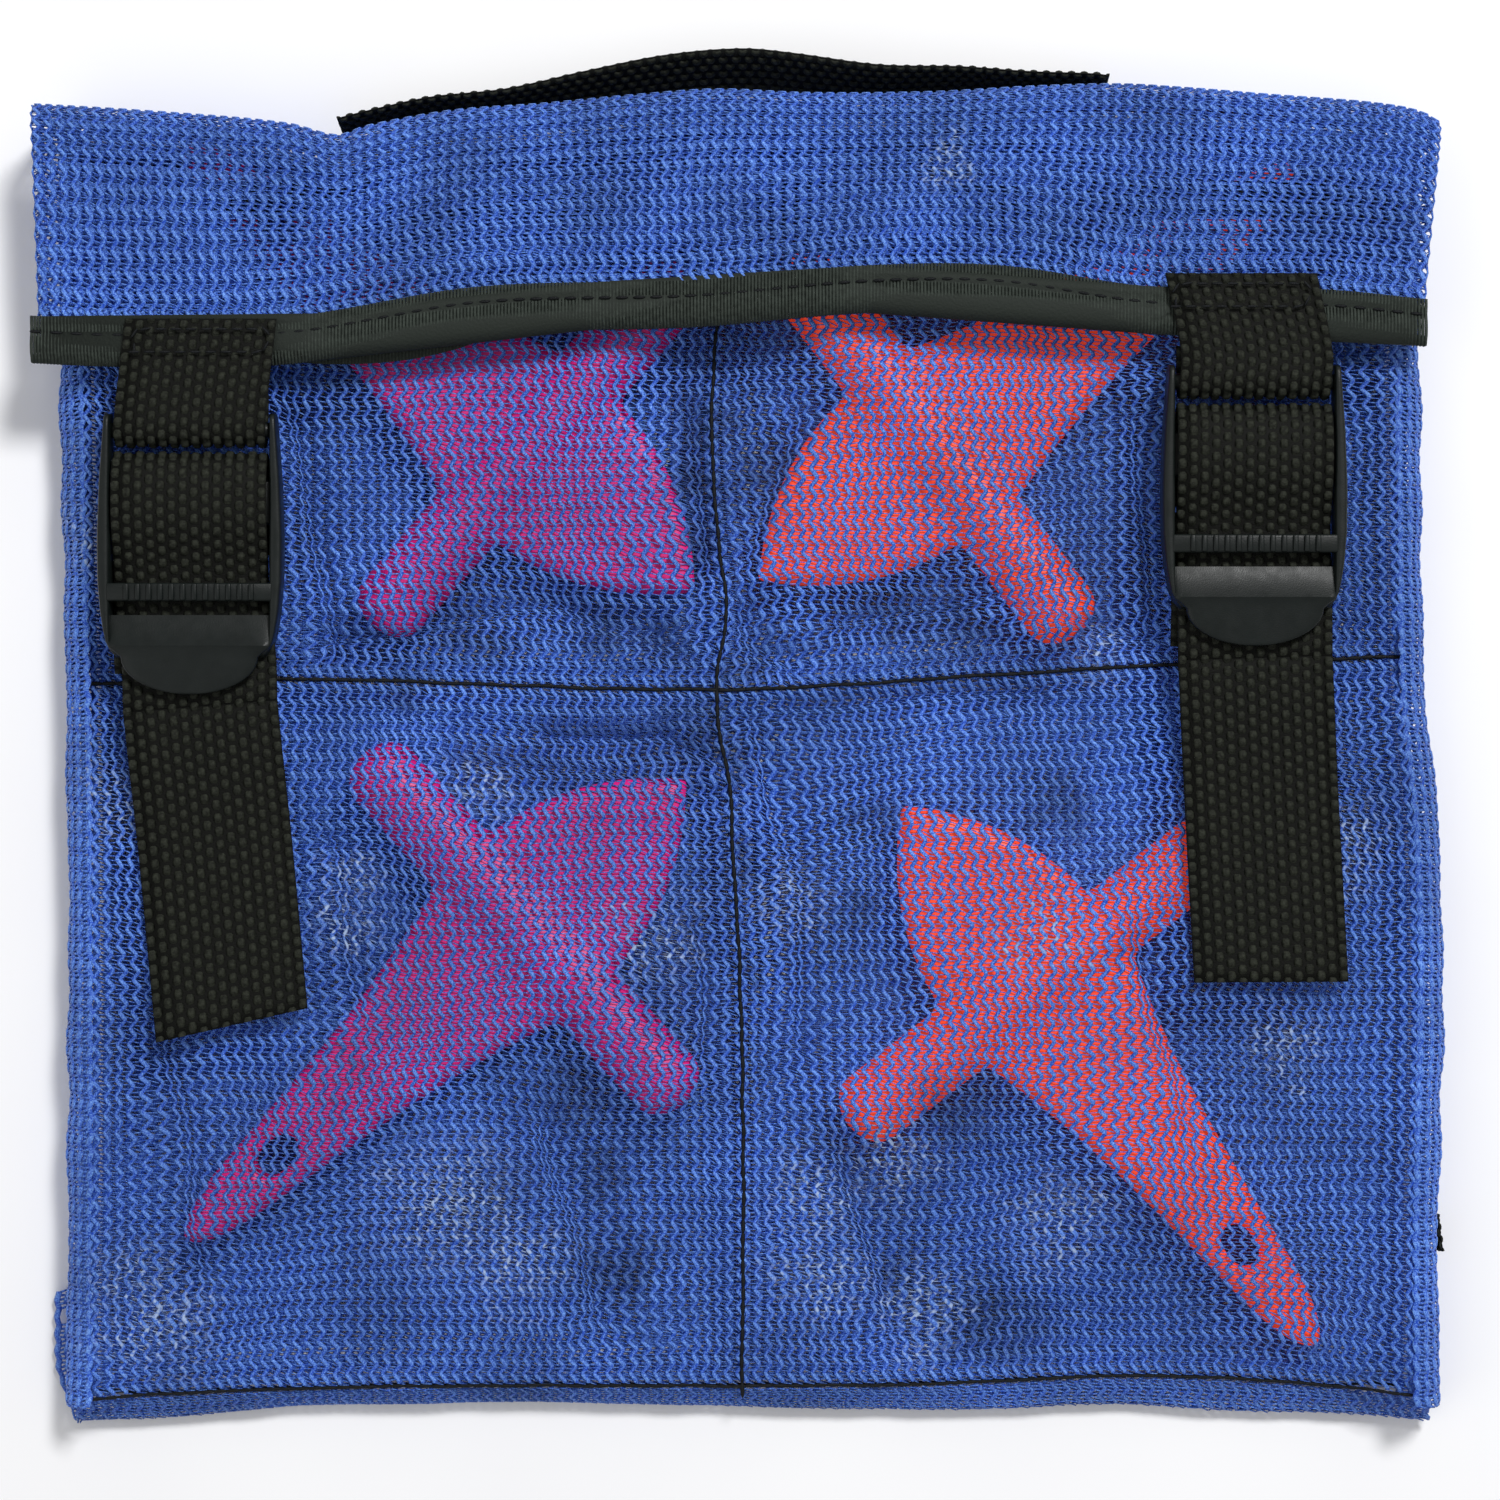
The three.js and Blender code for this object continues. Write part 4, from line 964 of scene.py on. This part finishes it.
class BALLBAG_OT_gussets(bpy.types.Operator):
    """Knit the side and top gussets, the bottom hem and the folded-out corner"""

    bl_idname = "ballbag.gussets"
    bl_label = "Gussets and Hem"

    def execute(self, context):
        # The under half turns a little further, so that its wales lie below the gaps of the upper half.
        above, below = math.radians(89), -math.radians(89) - 0.17
        for side, edge, sign in (("left", LEFT_EDGE, -1), ("right", RIGHT_EDGE, 1)):
            def place(u, v):
                y = mix(-106.6, TOP_Y - 1, v)
                angle = mix(above, below, u)
                uneven = 0.4 * ripples(y, 30 * u, 31, 6, 12, 40) * np.cos(angle)
                root = edge(y) - sign * (GUSSET_REACH + 0.7)
                reach = GUSSET_REACH + 0.4 + uneven
                return root + sign * reach * np.cos(angle), y, GUSSET_MIDDLE + GUSSET_RISE * np.sin(angle)

            points = patch(14, 110, place)
            made, flat = lay_knit(
                context, f"gusset_{side}", points, flip=side == "left", dense=1.55, sway=0.5)
            rest(made, "root", "mesh_cloth", f"gusset_{side}")

        def top(u, v):
            x = mix(-106.0, 104.8, u)
            y = FOLD_TOP(x) - 1.9 + 0.2 * ripples(x, 0, 33, 4, 30, 70)
            return x, y + 0 * v, mix(13.6, 1.0, v)

        made, flat = lay_knit(context, "gusset_top", patch(120, 8, top), flip=True, sides=4, dense=1.6)
        rest(made, "root", "mesh_cloth", "gusset_top")

        def hem(u, v):
            x = mix(LEFT_EDGE(-108) + 0.6, RIGHT_EDGE(-108) - 0.6, u)
            across = np.abs(2 * v - 1)
            y = mix(BOTTOM_EDGE(x) + 0.4 + 0.45 * ripples(x, 0, 36, 5, 18, 60), BOTTOM_SEAM(x) - 0.5, across)
            middle = mix(1.7, 5.4, across) + 0.25 * ripples(x, y, 35, 5, 8, 24)
            return x, y, middle + np.clip((v - 0.5) * 14, -1, 1) * 0.85

        made, flat = lay_knit(context, "bottom_hem", patch(150, 15, hem), flip=True, dense=1.15)
        rest(made, "root", "mesh_cloth", "bottom_hem")

        def corner(u, v):
            y = mix(-110.4, -88.4, v)
            rounded = np.sqrt(np.clip(1 - ((v - 0.72) / 0.75) ** 4, 0.02, 1))
            reach = 4.9 * rounded * mix(0.55, 1, smooth(v, 0, 0.5))
            return -107.4 - reach * u, y, 0.5 + 1.2 * np.sin(math.pi * (0.2 + 0.6 * u))

        fold, _ = lay_knit(context, "corner_fold", patch(8, 24, corner), flip=True, dense=1.5, sway=0.4)
        pierce(fold, (-110.0, -92.8), 1.15)
        rest(fold, "root", "mesh_cloth", "corner_fold")
        return {"FINISHED"}


def pierce(piece, centre, radius):
    """Opens a round hole through the cloth, and closes the cut ends of its yarns."""
    shape = bmesh.new()
    shape.from_mesh(piece.data)
    hole = [v for v in shape.verts if math.dist((v.co.x / MM, v.co.y / MM), centre) < radius]
    bmesh.ops.delete(shape, geom=hole, context="VERTS")
    cut = [e for e in shape.edges if e.is_boundary]
    bmesh.ops.holes_fill(shape, edges=cut, sides=12)
    shape.to_mesh(piece.data)
    shape.free()


def flap_section(x, v):
    """The flap's cloth at x, from the hem, v 0, up over the top fold and down behind, v 1."""
    top, hem = FOLD_TOP(x), HEM_TOP(x)
    behind = top - 0.65
    points = (
        (0, hem - 1.2, 16.7), (0.17, hem + 8, 16.6), (0.46, mix(hem, top, 0.72), 16.9),
        (0.64, top - 2.6, 17.2), (0.72, top - 0.35, 15.9), (0.77, top - 0.2, 14.2),
        (0.83, behind, 11.6), (0.92, behind - 0.2, 6.0), (1, behind - 0.2, 0.7),
    )
    at, ys, zs = zip(*points)
    at = np.array(at, float)
    return through(at, ys, v), through(at, zs, v)


class BALLBAG_OT_flap(bpy.types.Operator):
    """Knit the flap over the top fold, with its lining"""

    bl_idname = "ballbag.flap"
    bl_label = "Flap"

    def execute(self, context):
        def outer(u, v):
            # Both side hems are turned under by this much.
            under = 3.5
            x = mix(-113.2, 110.6, u)
            for _ in range(3):
                y, z = flap_section(x, v)
                left, right = FLAP_LEFT(y) + 0.3, FLAP_RIGHT(y) - 0.3
                beside = np.where(u < 0.5, u, 1 - u) * (right - left + 2 * under) - under
                turned = np.hypot(beside, 0.5)
                x = np.where(u < 0.5, left + turned, right - turned)
            lying = smooth(z, 12, 16)
            z = z - 0.5 * (1 - beside / turned) * lying
            inner = smooth(beside, 0, 9)
            z = z + lying * (0.35 * ripples(x, y, 41, 6, 22, 60) + 0.12 * ripples(x, y, 42, 5, 7, 14))
            crease = np.exp(-((x + 65 + 0.25 * (y - 100)) / 2.6) ** 2) * smooth(y, 84, 100)
            z = z - 0.9 * crease * lying
            return x + 0.6 * inner * ripples(x, y, 43, 5, 20, 50), y, z - (1 - inner) * 0.4 * lying

        points = patch(230, 66, outer)
        made, flat = lay_knit(context, "flap_cloth", points)
        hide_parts("flap_panel")
        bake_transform(made)

        def lining(u, v):
            x = mix(-112, 108, u)
            y = mix(HEM_TOP(x) - 0.6, FOLD_TOP(x) - 1.3, v)
            x = mix(FLAP_LEFT(y) + 0.8, FLAP_RIGHT(y) - 0.8, u)
            return x, y, 15.25 + 0.2 * ripples(x, y, 45, 5, 20, 50) + 0 * v

        made, flat = lay_knit(context, "flap_lining", patch(110, 24, lining), sides=4, dense=1.6)
        rest(made, "flap", "mesh_cloth", "flap_lining")
        return {"FINISHED"}


# ---- Tape and stitching ----


def lay_tape(context, name, points, thick=0.3, flip=False):
    """Lays ribbed tape over rows of points."""
    bag = context.scene.ball_bag
    width, long = spread_of(points)
    return run_tree(name, grid_mesh(name, points, flip), kept("tape tree", grosgrain_tree), {
        "Width": width, "Length": long, "Ribs": round(width / bag.webbing.rib), "Rows": 13,
        "Thickness": thick * MM, "Material": tape_yarn(bag),
    })


def hem_section(x, v):
    """The binding's tape in section: under the flap, round the hem's lower edge and up to the hem's top."""
    at = np.array([0.0, 0.3, 0.4, 0.46, 0.52, 0.6, 0.76, 0.82, 0.88, 1.0])
    down = np.array([0.8, 5.2, 7.3, 7.75, 7.3, 5.4, 3.4, 2.6, 1.9, 0.1])
    up = np.array([14.75, 14.7, 15.0, 16.0, 17.1, 17.75, 17.55, 17.15, 17.5, 17.45])
    return HEM_TOP(x) - np.interp(v, at, down), np.interp(v, at, up)


class BALLBAG_OT_bindings(bpy.types.Operator):
    """Bind the flap's hem and the pockets' mouth with ribbed tape"""

    bl_idname = "ballbag.bindings"
    bl_label = "Bindings"

    def execute(self, context):
        def hem(u, v):
            x = mix(-113.0, 108.9, u)
            y, z = hem_section(x, v)
            return x, y, z + 0.25 * ripples(x, 0, 51, 5, 20, 60)

        made = lay_tape(context, "flap_binding", patch(160, 24, hem), flip=True)
        rest(made, "flap", "binding_tape", "flap_binding")

        def inner_fold(u, v):
            x = mix(-73.5, -37.5, u)
            return x, mix(INNER_FOLD(x), HEM_TOP(x) - 5.5, v), mix(14.2, 14.35, v) + 0 * x

        made = lay_tape(context, "flap_binding_inner_fold", patch(40, 8, inner_fold))
        rest(made, "flap", "binding_tape", "flap_binding")

        def mouth(u, v):
            x = mix(LEFT_EDGE(84) + GUSSET_REACH, RIGHT_EDGE(84) - GUSSET_REACH, u)
            down = np.array([6.0, 2.0, 0.0, 2.0, 6.0])
            up = np.array([12.2, 12.1, 12.6, 13.2, 13.3])
            at = np.linspace(0, 1, 5)
            return x, MOUTH_Y + 0.3 + np.interp(v, at, down), np.interp(v, at, up) + 0 * x

        made = lay_tape(context, "pocket_mouth_binding", patch(110, 13, mouth), thick=0.35, flip=True)
        rest(made, "root", "binding_tape", "pocket_mouth_binding")
        return {"FINISHED"}


def sew(context, name, lines, radius, body, *nodes, stitch=2.9, spacing=2.2):
    """Sews along each of a seam's lines of points, all in millimetres."""
    bag = context.scene.ball_bag
    mesh = bpy.data.meshes.new(name)
    points, edges = [], []
    for path in lines:
        start = len(points)
        points += [tuple(p) for p in np.asarray(path) * MM]
        edges += [(i, i + 1) for i in range(start, len(points) - 1)]
    mesh.from_pydata(points, edges, [])
    made = run_tree(name, mesh, kept("stitch tree", stitch_tree), {
        "Spacing": spacing * MM, "Stitch": stitch * MM, "Radius": radius * MM,
        "Material": thread_yarn(bag),
    })
    return rest(made, body, "thread", *nodes)


class BALLBAG_OT_seams(bpy.types.Operator):
    """Sew the pockets' seams, the binding and the straps' loops"""

    bl_idname = "ballbag.seams"
    bl_label = "Seams"

    def execute(self, context):
        def both(x, y):
            front = np.stack([x, y, front_height(x, y) + 0.3], -1)
            back = np.stack([x, y, back_height(x, y) + 0.06], -1)
            return [front, back]

        def centre(low, high):
            y = np.arange(low, high, 1.0)
            return both(centre_x(y) + 0.12 * ripples(y, 0, 61, 4, 4, 9), y)

        def across(low, high, seam, shift=0.0):
            x = np.arange(low, high, 1.0)
            return both(x, seam(x) + shift + 0.12 * ripples(x, 0, 62, 4, 4, 9))

        sew(context, "centre_seam_upper", centre(10, MOUTH_Y), 0.34, "root", "centre_seam_upper")
        sew(context, "centre_seam_lower", centre(-104, 9), 0.36, "root", "centre_seam_lower")
        sew(context, "cross_seam", across(-104, 106, CROSS_SEAM), 0.34, "root", "cross_seam")
        sew(context, "bottom_seam", across(-106, 108, BOTTOM_SEAM, -0.2), 0.3, "root", "bottom_seam")
        for part, low, high in (("left_edge", -112, -98), ("middle", -73, 66), ("right_edge", 92, 108)):
            x = np.arange(low, high, 1.0)
            _, z = hem_section(x, np.full(x.shape, 0.82))
            path = np.stack([x, HEM_TOP(x) - 2.6, z + 0.25], -1)
            sew(context, f"binding_stitch_{part}", [path], 0.26, "flap", f"binding_stitch_{part}",
                stitch=2.0, spacing=2.7)
        for side, strap in STRAPS.items():
            x, y, z, half = strap["loop_x"], strap["loop_top"] - 3.4, AXLE_Z + 3.25, 10.4
            ring = np.array([(-half, -2), (half, -2), (half, 1.6), (-half, 1.6), (-half, -2)]) + (x, y)
            path = [(*mix(a, b, t), z) for a, b in zip(ring, ring[1:]) for t in np.linspace(0, 1, 8)[:-1]]
            sew(context, f"{side}_loop_stitch", [path], 0.22, "flap", f"{side}_loop_stitch",
                stitch=1.9, spacing=2.4)
        return {"FINISHED"}


# ---- Webbing ----


def curve_points(points, count):
    """Evenly spaced points on a smooth curve that passes through all of points."""
    points = np.asarray(points, float)
    ends = np.vstack([2 * points[0] - points[1], points, 2 * points[-1] - points[-2]])
    out = []
    for k in range(1, len(ends) - 2):
        p0, p1, p2, p3 = ends[k - 1 : k + 3]
        gaps = [max(np.linalg.norm(b - a) ** 0.5, 1e-6) for a, b in ((p0, p1), (p1, p2), (p2, p3))]
        knots = np.cumsum([0, *gaps])
        t = np.linspace(knots[1], knots[2], 24, endpoint=k == len(ends) - 3)[:, None]
        a = [mix(ends[k - 1 + i], ends[k + i], (t - knots[i]) / (knots[i + 1] - knots[i])) for i in range(3)]
        b = [mix(a[i], a[i + 1], (t - knots[i]) / (knots[i + 2] - knots[i])) for i in range(2)]
        out.append(mix(*b, (t - knots[1]) / (knots[2] - knots[1])))
    dense = np.vstack(out)
    run = np.r_[0, np.cumsum(np.linalg.norm(np.diff(dense, axis=0), axis=1))]
    even = np.linspace(0, run[-1], count)
    return np.stack([np.interp(even, run, dense[:, k]) for k in range(3)], -1)


def lay_webbing(context, name, points, body, *nodes, thick=STRAP_THICK, flip=False):
    """Weaves webbing over rows of points, and fixes it to its body."""
    bag = context.scene.ball_bag
    webbing = bag.webbing
    width, long = spread_of(points)
    made = run_tree(name, grid_mesh(name, points, flip), kept("webbing tree", webbing_tree), {
        "Width": width, "Length": long, "Columns": max(4, round(webbing.columns * width / webbing.width)),
        "Rows": max(2, round(long / webbing.row)), "Thickness": thick * MM, "Material": strap_yarn(bag),
    })
    return rest(made, body, "webbing", *nodes)


def ribbon(path, width, turn=0.0, over=(-1.0, 0.0), slant=0.0, columns=9):
    """A strap's middle sheet along a path. It swings by turn, and slant makes its left edge end later."""
    step = np.linspace(-0.5, 0.5, columns)[None, :, None]
    along = np.gradient(path, axis=0)
    along /= np.linalg.norm(along, axis=1)[:, None]
    share = np.linspace(0, 1, len(path))[:, None, None]
    heading = turn * smooth(share, *over)
    across = np.concatenate([np.cos(heading), np.sin(heading), 0 * heading], -1)
    return path[:, None] + step * (width * across - along[:, None] * slant * share ** 3)


class BALLBAG_OT_straps(bpy.types.Operator):
    """Weave both straps: loops, threaded webbing, tails and standing parts"""

    bl_idname = "ballbag.straps"
    bl_label = "Straps"

    def execute(self, context):
        width = context.scene.ball_bag.webbing.width / MM
        for side, strap in STRAPS.items():
            x, y, seam_y = strap["x"], strap["y"], strap["seam_y"]
            bend = BAR_RADIUS + BAR_GAP + STRAP_THICK / 2
            arc = [(x, y - bend * math.cos(a), AXLE_Z + bend * math.sin(a))
                   for a in np.radians(np.linspace(90, -90, 7))]
            loop = [(strap["loop_x"], strap["loop_top"], AXLE_Z + bend), (x + 0.3, y + 3.6, AXLE_Z + bend),
                    *arc, (x, y + 6, AXLE_Z - bend)]
            lay_webbing(context, f"{side}_fixed_loop", ribbon(curve_points(loop, 60), width - 0.6),
                        "flap", f"{side}_fixed_loop", flip=True)
            # Below the middle bar, up and back over it, then down and out below the grip bar and the tab.
            steps = [(-19.8, -1.75), (-13, -1.75), (-7, -1.6), (-3.75, 0.3), (-6.2, 2.4), (-11.5, 3),
                     (-15.8, 2.4), (-19.5, 0.9), (-23, -0.15), (-30, -0.15), (-36, -0.15), (-43.95, -0.15)]
            aside = strap["aside"]
            threaded = [(x + aside * smooth(-along, 24, 40), y + along, AXLE_Z + up) for along, up in steps]
            lay_webbing(context, f"{side}_threaded_webbing",
                        ribbon(curve_points(threaded, 90), width, strap["turn"], (0.8, 1.0)),
                        f"{side}_buckle", f"{side}_threaded_webbing", flip=True)
            root, rest_z, start, end = y - 44, 13.75, x + aside, strap["tail_end"]
            tail = [(start, root + 0.3, AXLE_Z - 0.15), (mix(start, end[0], 0.12), root - 6, AXLE_Z - 0.6),
                    (mix(start, end[0], 0.4), root - 20, rest_z + 0.4), (*end, rest_z)]
            lay_webbing(context, f"{side}_strap_tail",
                        ribbon(curve_points(tail, 60), width, strap["turn"], slant=strap["slant"]),
                        f"{side}_tail", f"{side}_strap_tail", flip=True)
            climb = [(seam_y + 1.6, 12.6), (seam_y + 6, 13.6), (y - 28, 14.3), (y - 20.6, AXLE_Z - 1.75)]
            standing = [(x - 0.5, *point) for point in climb]
            lay_webbing(context, f"{side}_standing_strap", ribbon(curve_points(standing, 30), width),
                        "root", f"{side}_standing_strap")
        return {"FINISHED"}


class BALLBAG_OT_handle(bpy.types.Operator):
    """Weave the carry handle with its two sewn ends, and the cut strap end at the side"""

    bl_idname = "ballbag.handle"
    bl_label = "Handle"

    def execute(self, context):
        start, finish, sewn = -65.0, 59.0, 0.16
        overlap = 0.4 / (finish - start)

        def strip(low, high):
            def place(u, v):
                t = mix(high, low, v)
                x = mix(start, finish, t)
                lean = 1.2 + 4.6 * np.sin(math.pi * np.clip(t, 0, 1)) ** 1.5
                return x, HANDLE_TOP(x) - 0.65 - lean * u, mix(11.0, 0.6, u) + 0 * t

            return patch(9, max(8, round((high - low) * 80)), place)

        for name, body, low, high in (
            ("handle_end_left", "root", 0.0, sewn + overlap), ("handle", "handle", sewn, 1 - sewn),
            ("handle_end_right", "root", 1 - sewn - overlap, 1.0),
        ):
            lay_webbing(context, name, strip(low, high), body, name)

        def wedge(u, v):
            return 112.9 + 0.9 * u * (1 - v), mix(-82, -76, v), mix(2.4, 4.2, u)

        lay_webbing(context, "side_strap_end", patch(6, 8, wedge), "root", "side_strap_end", thick=1.0)
        return {"FINISHED"}


# ---- Buckles ----


def box_part(shape, size, centre, bevel):
    """A box with rounded edges, in millimetres."""
    made = bmesh.ops.create_cube(shape, size=1)["verts"]
    for v in made:
        v.co = Vector([(c * s + m) * MM for c, s, m in zip(v.co, size, centre)])
    edges = list({e for v in made for e in v.link_edges})
    bmesh.ops.bevel(shape, geom=edges, offset=bevel * MM, segments=3, affect="EDGES", profile=0.5)


def loft(shape, rings):
    """Skins a row of closed rings of points in millimetres, and closes both ends."""
    rings = [[shape.verts.new([c * MM for c in point]) for point in ring] for ring in rings]
    for first, second in zip(rings, rings[1:]):
        for k in range(len(first)):
            n = (k + 1) % len(first)
            shape.faces.new([first[k], first[n], second[n], second[k]])
    shape.faces.new(rings[0][::-1])
    shape.faces.new(rings[-1])


def slab_ring(x, y, z, wide, tall, round_x, round_z):
    """A rounded rectangle across a part at y; the smaller its two rounding powers, the squarer it is."""
    angle = np.linspace(0, 2 * math.pi, 32, endpoint=False)
    c, s = np.cos(angle), np.sin(angle)
    across = x + wide / 2 * np.sign(c) * np.abs(c) ** round_x
    up = z + tall / 2 * np.sign(s) * np.abs(s) ** round_z
    return [(a, y, b) for a, b in zip(across, up)]


def rail_part(shape, sign):
    """A side rail: bowed out in the middle, rounded in section, drawn in at its lower end."""
    ys = np.concatenate([[2.6, 2.5, 2.1], np.linspace(1.2, -32, 22), [-33.6, -34.8, -35.6, -36.1]])
    grow = np.interp(ys, [-36.1, -35.6, -34.8, -33.4, 1.2, 2.1, 2.5, 2.6],
                     [0.35, 0.72, 0.9, 1, 1, 0.9, 0.6, 0.2])
    outer = np.interp(ys, [-36.1, -35, -33, -29, -24, -17, -8, 2.6],
                      [11.8, 12.7, 13.5, 14.2, 14.65, 14.75, 14.4, 13.6])
    inner = np.interp(ys, [-36.1, -34, 2.6], [10.2, 12.6, 12.6])
    loft(shape, [slab_ring(sign * (far + near) / 2, y, 0, far - near, 5.2 * g, 0.5, 0.45)
                 for y, near, far, g in zip(ys, inner, outer, grow)])


def plate_part(shape):
    """The end plate, which slopes up to a ridge, and its half-round thumb tab."""
    tab = np.radians([8, 18, 28, 38, 48, 57, 65, 72, 78, 83, 87])
    outline = [(-29.4, 12.8), (-30.4, 12.9), (-32, 12.9), (-33.6, 12.9), (-34.3, 12.9), (-34.6, 12.8),
               (-35.4, 11.7), (-36.1, 10.9), *((-36.1 - 5.9 * math.sin(a), 10.9 * math.cos(a)) for a in tab)]
    bottom, rings = 0.75, []
    for y, half in outline:
        top = np.interp(y, [-42, -36.1, -34.7, -34.3, -33, -31, -29.4],
                        [2.1, 2.75, 2.95, 3.1, 2.3, 1.35, 0.95])
        tall = (top - bottom) * min(1, half / 2.5)
        rings.append(slab_ring(0, y, (top + bottom) / 2, 2 * half, tall, 0.3, 0.45))
    loft(shape, rings)


class BALLBAG_OT_buckles(bpy.types.Operator):
    """Mould the two ladder-lock buckles"""

    bl_idname = "ballbag.buckles"
    bl_label = "Buckles"

    def execute(self, context):
        material = kept("buckle", buckle_material, context.scene.ball_bag.moulded)
        for side, strap in STRAPS.items():
            shape = bmesh.new()
            for sign in (-1, 1):
                rail_part(shape, sign)
            # The upper bar, the middle bar, and the grip bar with its ribs.
            box_part(shape, (26.4, 2.7, 2.7), (0, 0, 0), 1.2)
            box_part(shape, (26.4, 7.0, 1.6), (0, -11.5, 0.1), 0.5)
            box_part(shape, (26.4, 2.9, 1.8), (0, -25.8, 1.8), 0.4)
            for x in np.linspace(-9.9, 9.9, 12):
                box_part(shape, (0.85, 2.7, 0.9), (x, -25.8, 2.75), 0.24)
            plate_part(shape)
            bmesh.ops.recalc_face_normals(shape, faces=shape.faces)
            shape.transform(Matrix.Translation((strap["x"] * MM, strap["y"] * MM, AXLE_Z * MM)))
            mesh = bpy.data.meshes.new(f"{side}_buckle")
            shape.to_mesh(mesh)
            shape.free()
            mesh.materials.append(material)
            made = show(f"{side}_buckle_moulding", mesh)
            mesh.set_sharp_from_angle(angle=math.radians(50))
            rest(made, f"{side}_buckle", "buckle_plastic", f"{side}_buckle")
        return {"FINISHED"}


# ---- Toys ----


class BALLBAG_OT_toys(bpy.types.Operator):
    """Mould the four throwing toys, rounded at every edge"""

    bl_idname = "ballbag.toys"
    bl_label = "Toys"

    def execute(self, context):
        moulded = context.scene.ball_bag.moulded
        for name, tone in TOYS.items():
            pigment = tuple(getattr(moulded, tone))
            material = kept(tone, rubber_material, f"Moulded rubber, {tone}", pigment, PAINTED_GLOW[tone])
            shape = bmesh.new()
            shape.from_mesh(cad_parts[name].data)
            bmesh.ops.remove_doubles(shape, verts=shape.verts, dist=1e-6)
            mesh = bpy.data.meshes.new(name)
            shape.to_mesh(mesh)
            shape.free()
            raw = show(f"{name}_moulding", mesh)
            remesh = raw.modifiers.new("Skin", "REMESH")
            remesh.mode, remesh.voxel_size, remesh.use_smooth_shade = "VOXEL", 0.9 * MM, True
            relax = raw.modifiers.new("Relax", "SMOOTH")
            relax.factor, relax.iterations = 0.5, 6
            done = bpy.data.meshes.new_from_object(raw.evaluated_get(context.evaluated_depsgraph_get()))
            raw.modifiers.clear()
            raw.data = done
            done.materials.clear()
            done.materials.append(material)
            rest(raw, "root", f"{tone}_rubber", name)
        return {"FINISHED"}


# ---- Stage ----


class BALLBAG_OT_stage(bpy.types.Operator):
    """Set the floor, the lights and the camera looking straight down"""

    bl_idname = "ballbag.stage"
    bl_label = "Stage"

    def execute(self, context):
        scene = context.scene
        half, level = 1.6, -0.0002
        corners = [(-half, -half, level), (half, -half, level), (half, half, level), (-half, half, level)]
        floor = show("floor", mesh_of("floor", corners, [(0, 1, 2, 3)]))
        floor.data.materials.append(paper_material())

        world = bpy.data.worlds.new("Studio")
        scene.world = world
        world.use_nodes = True
        back = world.node_tree.nodes["Background"]
        back.inputs["Color"].default_value = (1, 1, 1, 1)
        back.inputs["Strength"].default_value = 0.4
        for name, place, size, power in (
            ("key", (0.5, 0.85, 1.25), 0.32, 19.5), ("fill", (-0.9, -0.3, 1.0), 1.0, 2.5),
        ):
            lamp = bpy.data.lights.new(name, "AREA")
            lamp.size, lamp.energy = size, power
            made = bpy.data.objects.new(name, lamp)
            scene.collection.objects.link(made)
            made.location = place
            made.rotation_euler = (-Vector(place)).to_track_quat("-Z", "Y").to_euler()

        view = bpy.data.cameras.new("camera")
        view.lens, view.sensor_width = 85, 36
        camera = bpy.data.objects.new("camera", view)
        scene.collection.objects.link(camera)
        camera.location = (0.0013, -0.0006, 0.579)
        scene.camera = camera
        scene.view_settings.view_transform = "Standard"
        return {"FINISHED"}


# ---- Panel and registration ----


class BALLBAG_PG_bag(bpy.types.PropertyGroup):
    """All settings of the bag"""

    knit: PointerProperty(type=BALLBAG_PG_knit)
    webbing: PointerProperty(type=BALLBAG_PG_webbing)
    moulded: PointerProperty(type=BALLBAG_PG_moulded)


STEPS = (
    BALLBAG_OT_panels, BALLBAG_OT_gussets, BALLBAG_OT_flap, BALLBAG_OT_bindings, BALLBAG_OT_seams,
    BALLBAG_OT_straps, BALLBAG_OT_handle, BALLBAG_OT_buckles, BALLBAG_OT_toys, BALLBAG_OT_stage,
)


class BALLBAG_PT_bag(bpy.types.Panel):
    """Builds the bag piece by piece"""

    bl_label = "Ball Bag"
    bl_space_type = "VIEW_3D"
    bl_region_type = "UI"
    bl_category = "Ball Bag"

    def draw(self, context):
        bag = context.scene.ball_bag
        for group in (bag.knit, bag.webbing, bag.moulded):
            column = self.layout.column(align=True)
            for name in group.__annotations__:
                column.prop(group, name)
        for step in STEPS:
            self.layout.operator(step.bl_idname)


CLASSES = (BALLBAG_PG_knit, BALLBAG_PG_webbing, BALLBAG_PG_moulded, BALLBAG_PG_bag, *STEPS, BALLBAG_PT_bag)


def register():
    for kind in CLASSES:
        bpy.utils.register_class(kind)
    bpy.types.Scene.ball_bag = PointerProperty(type=BALLBAG_PG_bag)


def unregister():
    del bpy.types.Scene.ball_bag
    for kind in reversed(CLASSES):
        bpy.utils.unregister_class(kind)


def main():
    register()
    for step in STEPS:
        group, name = step.bl_idname.split(".")
        getattr(getattr(bpy.ops, group), name)()


if __name__ == "__main__":
    main()
